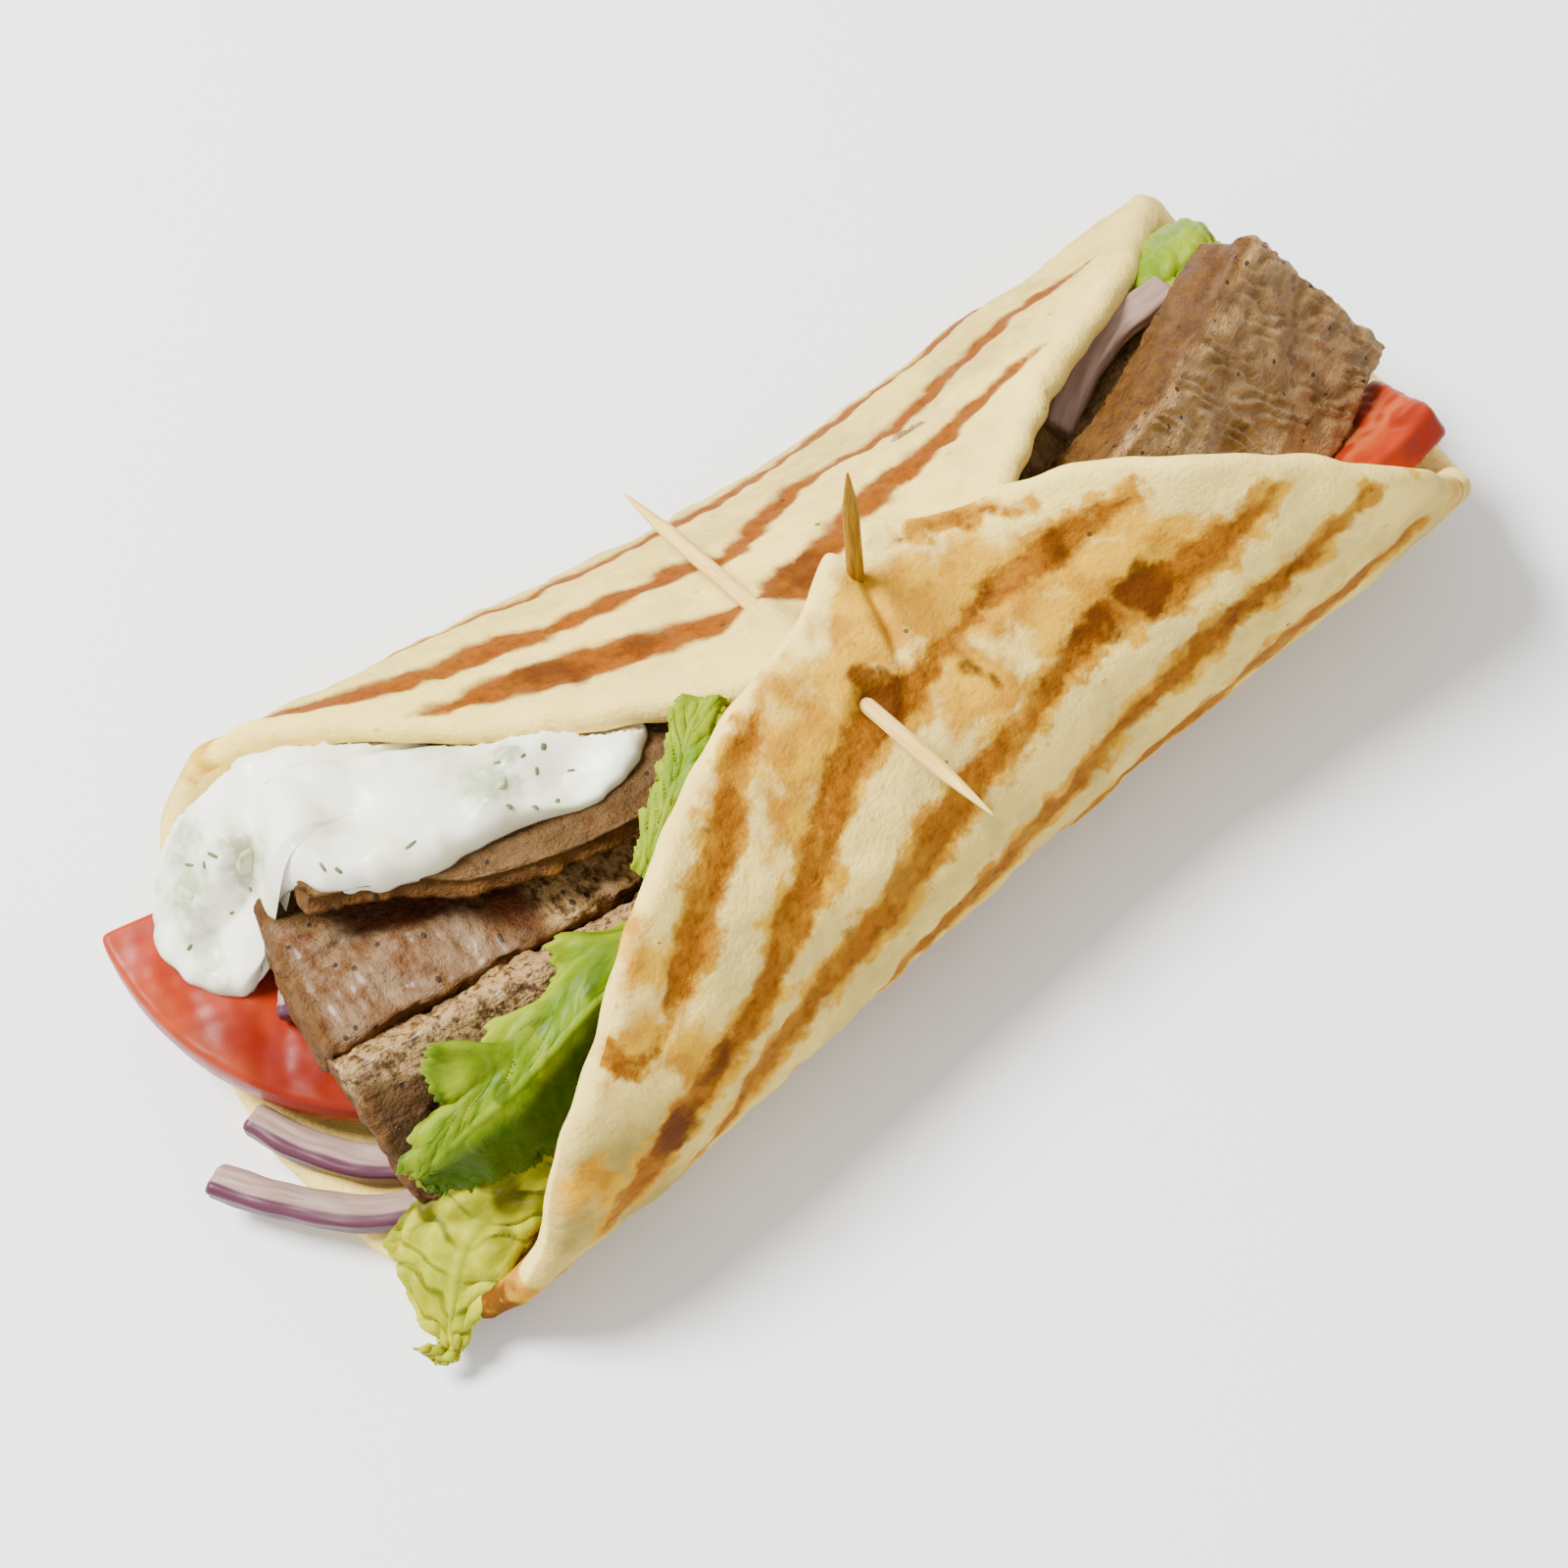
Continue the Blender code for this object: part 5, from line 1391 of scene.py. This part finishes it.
def chunks(centres, sizes, turns, around=12, rings=7):
    """Many small lumps in one mesh: balls stretched by their sizes, with corners squared by a power."""
    up = np.linspace(-math.pi / 2, math.pi / 2, rings + 2)[1:-1]
    turn = np.linspace(0, 2 * math.pi, around, endpoint=False)

    def squared(values, power):
        """The size raised to the power, with its sign kept."""
        return np.sign(values) * np.abs(values) ** power

    ball = np.stack([
        squared(np.cos(up), 0.6)[:, None] * squared(np.cos(turn), 0.6),
        squared(np.cos(up), 0.6)[:, None] * squared(np.sin(turn), 0.6),
        squared(np.sin(up), 0.6)[:, None] * np.ones(around),
    ], axis=-1)
    points, faces = closed_form(ball, np.array([0, 0, -1.0]), np.array([0, 0, 1.0]))
    shaped = points[None] * sizes[:, None]
    placed = np.einsum("nij,nkj->nki", turns, shaped) + centres[:, None]
    count = len(points)
    steps = np.arange(len(centres))[:, None, None] * count
    return placed.reshape(-1, 3), [(part[None] + steps).reshape(-1, part.shape[1]) for part in faces]


def facing(normals, spins):
    """Turns that carry Z to each normal, after a spin about it."""
    aside = unit(np.cross(normals, [0.3, 1.0, 0.1]))
    other = np.cross(normals, aside)
    c, s = np.cos(spins)[:, None], np.sin(spins)[:, None]
    return np.stack([aside * c + other * s, other * c - aside * s, normals], axis=-1)


def build_sauce(settings):
    """A spooned heap in rings from its middle to its outline, closed by the same rings underneath.

    The underside lies 0.7 mm and d * sqrt(1 - share ** SAUCE_ROUNDING) below the top. d is the depth down to
    the strip, the tomato or the bread under it. So the edge is round and stays inside the bread.
    """
    needed = ("bread", "meat_top_strip", "tomato_left_slice")
    missing = [name for name in needed if name not in bpy.data.objects]
    if missing:
        raise RuntimeError("The sauce lies on pieces that are not built yet: " + ", ".join(missing))
    deep = settings.depth / MM
    below = np.concatenate([cloud("meat_top_strip")[0], cloud("tomato_left_slice")[0]])
    under = HeightMap(below, empty=BREAD_INSIDE).drape(60)
    bread, flat = cloud("bread", "flat")
    flap = (flat[:, 1] > 40) & (flat[:, 2] > 2.5) & (flat[:, 0] < -14)
    over = HeightMap(bread[flap], highest=False, empty=60.0)
    inner = (flat[:, 2] > 0.9 * flat[:, 2].max()) & (flat[:, 1] > 0) & (flat[:, 1] < 48)
    trough = HeightMap(bread[inner], empty=BREAD_INSIDE)
    around, rings = 340, 120
    outline = curve(np.vstack([SAUCE_OUTLINE, SAUCE_OUTLINE[:1]]), around + 1)[:-1]
    outline = outline + 0.25 * waves(outline, 4.5, 64)[:, None] * unit(outline - SAUCE_MIDDLE)
    share = 1 - (1 - np.linspace(0.02, 1, rings)) ** 1.25
    flat = SAUCE_MIDDLE + share[:, None, None] * (outline - SAUCE_MIDDLE)
    x, y = flat[..., 0], flat[..., 1]
    top = sauce_top(x, y, share[:, None], under, over, deep)
    depth = top - 0.7 - np.maximum(np.maximum(under.at(x, y) - 1.2, trough.at(x, y) + 0.2), SAUCE_FOOT)
    low = top - 0.7 - np.maximum(depth, 0) * np.sqrt(1 - share[:, None] ** SAUCE_ROUNDING)
    upper, lower = (np.concatenate([flat, height[..., None]], axis=-1) for height in (top, low))
    both = np.concatenate([upper, lower[::-1]])
    points, faces = closed_form(both, both[0].mean(axis=0), both[-1].mean(axis=0))
    bits = np.zeros_like(x)
    for cx, cy, radius in CUCUMBER:
        bits = np.maximum(bits, np.exp(-(((x - cx) ** 2 + (y - cy) ** 2) / (1.5 * radius) ** 2)))
    # Painted shade: grey-green towards the heap's open end.
    bits = np.maximum(bits, 0.55 * smooth((-72 - x) / 9) * smooth(0.9 + waves(flat, 9, 66)))
    layer = np.concatenate([bits.ravel(), np.zeros(bits.size + 2)])
    piece("sauce_heap", "sauce", "yoghurt_sauce", points, faces, sauce_finish(settings), bits=layer)
    rng = np.random.default_rng(77)
    edge = np.arctan2(*(outline - SAUCE_MIDDLE).T[::-1])
    order = np.argsort(edge)
    edge, reach = edge[order], np.linalg.norm(outline - SAUCE_MIDDLE, axis=1)[order]

    def part_of(spots):
        """Where each spot lies between the middle (0) and the outline (1)."""
        angle = np.arctan2(*(spots - SAUCE_MIDDLE).T[::-1])
        outer = np.interp(angle, edge, reach, period=2 * math.pi)
        return np.linalg.norm(spots - SAUCE_MIDDLE, axis=1) / outer

    def laid_on(spots, sink):
        """Places on the sauce, sunk by so much, and the turns that make lumps there lie flat."""
        def height(dx, dy):
            """Height of the sauce at the spots moved by dx and dy."""
            return sauce_top(spots[:, 0] + dx, spots[:, 1] + dy, part_of(spots), under, over, deep)

        slope = [height(-0.5, 0) - height(0.5, 0), height(0, -0.5) - height(0, 0.5), np.ones(len(spots))]
        turns = facing(unit(np.stack(slope, axis=-1)), rng.uniform(0, 6.3, len(spots)))
        return np.column_stack([spots, height(0, 0) - sink]), turns

    spots = rng.uniform((-84, -4), (-30, 33), (900, 2))
    spots = spots[part_of(spots) < 0.93][: settings.flecks]
    long, wide = rng.uniform(0.35, 0.90, len(spots)), rng.uniform(0.20, 0.40, len(spots))
    sizes = np.stack([long, wide, np.full(len(spots), 0.1)], axis=-1)
    centres, turns = laid_on(spots, 0.0)
    herbs, herb_faces = chunks(centres, sizes, turns, 8, 3)
    piece("herb_flecks", None, "lettuce", herbs, herb_faces, herb_finish())
    sizes = np.array(CUCUMBER)[:, 2:] * [0.75, 0.45, 0.0] + [0, 0, 0.55]
    centres, turns = laid_on(np.array(CUCUMBER)[:, :2], 0.75)
    cut, cut_faces = chunks(centres, sizes, turns, 28, 15)
    cut = cut + 0.10 * np.stack([waves(cut, 1.8, seed) for seed in (81, 82, 83)], axis=-1)
    piece("cucumber_bits", None, "yoghurt_sauce", cut, cut_faces, cucumber_finish())


# ---------------------------------------------------------------- stage

CAMERA_PLACE = (-0.133397, -0.159186, 0.406323)
CAMERA_BACK = (-38.64, 64.02)  # azimuth and elevation of the camera seen from the wrap, in degrees
CAMERA_ROLL = -4.47
CAMERA_LENS = 81.17


def build_stage(settings):
    """Floor, lights and camera. The camera's axes are the view line, its level right and its up, rolled."""
    floor_mesh = bpy.data.meshes.new("floor")
    corners = [(-3.0, -3.0, -0.0003), (3.0, -3.0, -0.0003), (3.0, 3.0, -0.0003), (-3.0, 3.0, -0.0003)]
    floor_mesh.from_pydata(corners, [], [(0, 1, 2, 3)])
    floor = bpy.data.objects.new("floor", floor_mesh)
    bpy.context.scene.collection.objects.link(floor)
    pale = Finish("floor", Roughness=0.9)
    floor_mesh.materials.append(pale.done(tuple(settings.floor)))
    world = bpy.data.worlds.new("studio")
    world.use_nodes = True
    world.node_tree.nodes["Background"].inputs["Color"].default_value = (1, 1, 1, 1)
    world.node_tree.nodes["Background"].inputs["Strength"].default_value = settings.sky
    bpy.context.scene.world = world
    for name, place, size, power in (
        ("key", (-0.35, 0.52, 0.95), 0.45, settings.key),
        ("fill", (-0.6, -0.7, 0.6), 0.9, 1.6),
    ):
        light = bpy.data.lights.new(name, "AREA")
        light.shape = "DISK"
        light.size = size
        light.energy = power
        lamp = bpy.data.objects.new(name, light)
        bpy.context.scene.collection.objects.link(lamp)
        lamp.location = place
        lamp.rotation_euler = (-Vector(place)).to_track_quat("-Z", "Y").to_euler()
    azimuth, elevation = (math.radians(angle) for angle in CAMERA_BACK)
    back = np.array([
        math.sin(azimuth) * math.cos(elevation),
        -math.cos(azimuth) * math.cos(elevation),
        math.sin(elevation),
    ])
    right = unit(np.cross(-back, [0.0, 0.0, 1.0]))
    up = np.cross(right, -back)
    roll = math.radians(CAMERA_ROLL)
    right, up = right * math.cos(roll) + up * math.sin(roll), up * math.cos(roll) - right * math.sin(roll)
    data = bpy.data.cameras.new("camera")
    data.lens = CAMERA_LENS
    data.sensor_width = 36.0
    camera = bpy.data.objects.new("camera", data)
    bpy.context.scene.collection.objects.link(camera)
    matrix = np.eye(4)
    matrix[:3, 0], matrix[:3, 1], matrix[:3, 2], matrix[:3, 3] = right, up, back, CAMERA_PLACE
    camera.matrix_world = Matrix(matrix.tolist())
    bpy.context.scene.camera = camera
    if bpy.context.scene.camera is None:
        raise RuntimeError("The stage has no camera")


# ---------------------------------------------------------------- add-on


def colour_setting(name, description, colour):
    """A colour to choose in the panel."""
    return bpy.props.FloatVectorProperty(
        name=name, description=description, default=colour, subtype="COLOR", size=3, min=0.0, max=1.0,
    )


def length_setting(name, description, millimetres):
    """A length to choose in the panel, given in millimetres and kept in metres."""
    return bpy.props.FloatProperty(
        name=name, description=description, default=millimetres * MM,
        min=0.1 * MM, unit="LENGTH", precision=4,
    )


def factor_setting(name, description, factor):
    """A factor to choose in the panel, 1 as built."""
    return bpy.props.FloatProperty(
        name=name, description=description, default=factor, min=0.0, soft_max=2.0, subtype="FACTOR",
    )


class GyroBread(bpy.types.PropertyGroup):
    """Sizes and colours of the flatbread"""

    thickness: length_setting("Thickness", "Thickness of the bread", 4.0)
    relief: factor_setting("Relief", "Height of the dents and grooves in its outer face", 1.0)
    cream: colour_setting("Cream", "Colour of the untoasted bread", (0.90, 0.67, 0.175))
    gold: colour_setting("Gold", "Colour of the lightly toasted patches", (0.43, 0.180, 0.001))
    brown: colour_setting("Brown", "Colour of the grill marks", (0.245, 0.080, 0.002))


class GyroToothpicks(bpy.types.PropertyGroup):
    """Size and colours of the toothpicks"""

    diameter: length_setting("Diameter", "Diameter in the middle of a toothpick", 2.0)
    across: colour_setting("Lying pick", "Colour of the toothpick that lies across", (0.90, 0.62, 0.170))
    # Painted shade: the upright pick is the same wood as the lying one, darkened to a golden brown.
    upright: colour_setting("Upright pick", "Colour of the toothpick that stands up", (0.33, 0.165, 0.004))


class GyroMeat(bpy.types.PropertyGroup):
    """Roughness and colours of the meat"""

    crumble: factor_setting("Crumble", "Depth of the torn edges", 1.0)
    brown: colour_setting("Brown", "Colour of the browned meat", (0.100, 0.047, 0.0095))
    tan: colour_setting("Tan", "Colour of the broad slice's face", (0.480, 0.285, 0.110))


class GyroOnion(bpy.types.PropertyGroup):
    """Sizes and colours of the red onion"""

    width: length_setting("Width", "Width of a strip", 4.2)
    thickness: length_setting("Thickness", "Thickness of a strip", 3.2)
    flesh: colour_setting("Flesh", "Colour of the flesh", (0.310, 0.205, 0.150))
    skin: colour_setting("Skin", "Colour of the skin side", (0.105, 0.034, 0.050))


class GyroTomato(bpy.types.PropertyGroup):
    """Size and colours of the tomato"""

    thickness: length_setting("Thickness", "Thickness of the slice", 6.5)
    flesh: colour_setting("Flesh", "Colour of the flesh", (0.350, 0.030, 0.004))
    skin: colour_setting("Skin", "Colour of the skin", (0.230, 0.014, 0.004))


class GyroLettuce(bpy.types.PropertyGroup):
    """Thickness and colours of the lettuce"""

    thickness: length_setting("Thickness", "Thickness of a leaf", 0.8)
    green: colour_setting("Green", "Colour of the fresh leaves", (0.155, 0.235, 0.0015))
    yellow: colour_setting("Yellow", "Colour of the palest leaf", (0.450, 0.460, 0.006))


class GyroSauce(bpy.types.PropertyGroup):
    """Depth, colour and herbs of the yoghurt sauce"""

    depth: length_setting("Depth", "Depth of the sauce over the filling", 3.0)
    white: colour_setting("White", "Colour of the yoghurt", (0.93, 0.91, 0.74))
    flecks: bpy.props.IntProperty(
        name="Herb flecks", description="Number of herb flecks", default=22, min=1, max=80,
    )


class GyroStage(bpy.types.PropertyGroup):
    """Light and floor of the stage"""

    key: bpy.props.FloatProperty(
        name="Key light", description="Power of the key light", default=41.0, unit="POWER",
    )
    sky: bpy.props.FloatProperty(
        name="Sky light", description="Strength of the even light", default=1.05, min=0.0,
    )
    floor: colour_setting("Floor", "Colour of the floor", (0.86, 0.86, 0.86))


class GYRO_OT_bread(bpy.types.Operator):
    """Build the grilled flatbread"""

    bl_idname = "gyro.bread"
    bl_label = "Flatbread"
    bl_options = {"REGISTER", "UNDO"}

    def execute(self, context):
        """Builds it with the settings held by the scene."""
        build_bread(context.scene.gyro_bread)
        return {"FINISHED"}


class GYRO_OT_toothpicks(bpy.types.Operator):
    """Build both toothpicks"""

    bl_idname = "gyro.toothpicks"
    bl_label = "Toothpicks"
    bl_options = {"REGISTER", "UNDO"}

    def execute(self, context):
        """Builds it with the settings held by the scene."""
        settings = context.scene.gyro_toothpicks
        across, upright = tuple(settings.across), tuple(settings.upright)
        pale = wood_finish("toothpick_pale", across, tinted(across, 0.73, 0.645, 0.50))
        # The upright pick's darker golden wood is painted shade on the same wood as the lying pick.
        golden = wood_finish("toothpick_shaded", upright, tinted(upright, 0.58, 0.485, 0.50))
        for name, finish in (("toothpick_across", pale), ("toothpick_upright", golden)):
            build_toothpick(name, TOOTHPICKS[name], finish, settings.diameter / MM)
        return {"FINISHED"}


class GYRO_OT_meat(bpy.types.Operator):
    """Build the meat strips"""

    bl_idname = "gyro.meat"
    bl_label = "Meat strips"
    bl_options = {"REGISTER", "UNDO"}

    def execute(self, context):
        """Builds it with the settings held by the scene."""
        settings = context.scene.gyro_meat
        finish = meat_finish(settings)
        for name in MEATS:
            build_meat(name, finish, settings.crumble)
        return {"FINISHED"}


class GYRO_OT_onion(bpy.types.Operator):
    """Build the red onion strips"""

    bl_idname = "gyro.onion"
    bl_label = "Red onion"
    bl_options = {"REGISTER", "UNDO"}

    def execute(self, context):
        """Builds it with the settings held by the scene."""
        settings = context.scene.gyro_onion
        finish = onion_finish(settings)
        for name in ONIONS:
            build_onion(name, finish, settings.width / MM, settings.thickness / MM)
        return {"FINISHED"}


class GYRO_OT_tomato(bpy.types.Operator):
    """Build the tomato pieces"""

    bl_idname = "gyro.tomato"
    bl_label = "Tomato"
    bl_options = {"REGISTER", "UNDO"}

    def execute(self, context):
        """Builds it with the settings held by the scene."""
        settings = context.scene.gyro_tomato
        finish = tomato_finish(settings)
        build_tomato_slice(finish, settings.thickness / MM)
        build_tomato_wedge(finish)
        return {"FINISHED"}


class GYRO_OT_lettuce(bpy.types.Operator):
    """Build the lettuce leaves"""

    bl_idname = "gyro.lettuce"
    bl_label = "Lettuce"
    bl_options = {"REGISTER", "UNDO"}

    def execute(self, context):
        """Builds it with the settings held by the scene."""
        settings = context.scene.gyro_lettuce
        finish = lettuce_finish(settings)
        for name in LEAVES:
            build_leaf(name, finish, settings.thickness / MM)
        return {"FINISHED"}


class GYRO_OT_sauce(bpy.types.Operator):
    """Build the yoghurt sauce with its herbs and cucumber"""

    bl_idname = "gyro.sauce"
    bl_label = "Sauce"
    bl_options = {"REGISTER", "UNDO"}

    def execute(self, context):
        """Builds it with the settings held by the scene."""
        build_sauce(context.scene.gyro_sauce)
        return {"FINISHED"}


class GYRO_OT_stage(bpy.types.Operator):
    """Build the floor, the lights and the camera"""

    bl_idname = "gyro.stage"
    bl_label = "Stage"
    bl_options = {"REGISTER", "UNDO"}

    def execute(self, context):
        """Builds it with the settings held by the scene."""
        build_stage(context.scene.gyro_stage)
        return {"FINISHED"}


# Each part of the wrap: its operator, its settings and the scene property that holds them.
PARTS = (
    (GYRO_OT_bread, GyroBread, "gyro_bread"),
    (GYRO_OT_toothpicks, GyroToothpicks, "gyro_toothpicks"),
    (GYRO_OT_meat, GyroMeat, "gyro_meat"),
    (GYRO_OT_onion, GyroOnion, "gyro_onion"),
    (GYRO_OT_tomato, GyroTomato, "gyro_tomato"),
    (GYRO_OT_lettuce, GyroLettuce, "gyro_lettuce"),
    (GYRO_OT_sauce, GyroSauce, "gyro_sauce"),
    (GYRO_OT_stage, GyroStage, "gyro_stage"),
)


class GYRO_PT_panel(bpy.types.Panel):
    """Lists the parts of the gyro wrap with their settings"""

    bl_label = "Gyro wrap"
    bl_idname = "GYRO_PT_panel"
    bl_space_type = "VIEW_3D"
    bl_region_type = "UI"
    bl_category = "Gyro wrap"

    def draw(self, context):
        """Shows the settings of each part over its button."""
        for operator, group, holder in PARTS:
            box = self.layout.box()
            for setting in group.__annotations__:
                box.prop(getattr(context.scene, holder), setting)
            box.operator(operator.bl_idname)


def register():
    """Registers the classes and hangs each part's settings on the scene."""
    for operator, group, holder in PARTS:
        bpy.utils.register_class(group)
        bpy.utils.register_class(operator)
        setattr(bpy.types.Scene, holder, bpy.props.PointerProperty(type=group))
    bpy.utils.register_class(GYRO_PT_panel)


def unregister():
    """Takes the classes and settings away again, in the opposite order."""
    bpy.utils.unregister_class(GYRO_PT_panel)
    for operator, group, holder in reversed(PARTS):
        delattr(bpy.types.Scene, holder)
        bpy.utils.unregister_class(operator)
        bpy.utils.unregister_class(group)


def main():
    """Builds every part in order."""
    register()
    bpy.ops.gyro.bread()
    bpy.ops.gyro.toothpicks()
    bpy.ops.gyro.meat()
    bpy.ops.gyro.onion()
    bpy.ops.gyro.tomato()
    bpy.ops.gyro.lettuce()
    bpy.ops.gyro.sauce()
    bpy.ops.gyro.stage()
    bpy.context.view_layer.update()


if __name__ == "__main__":
    main()
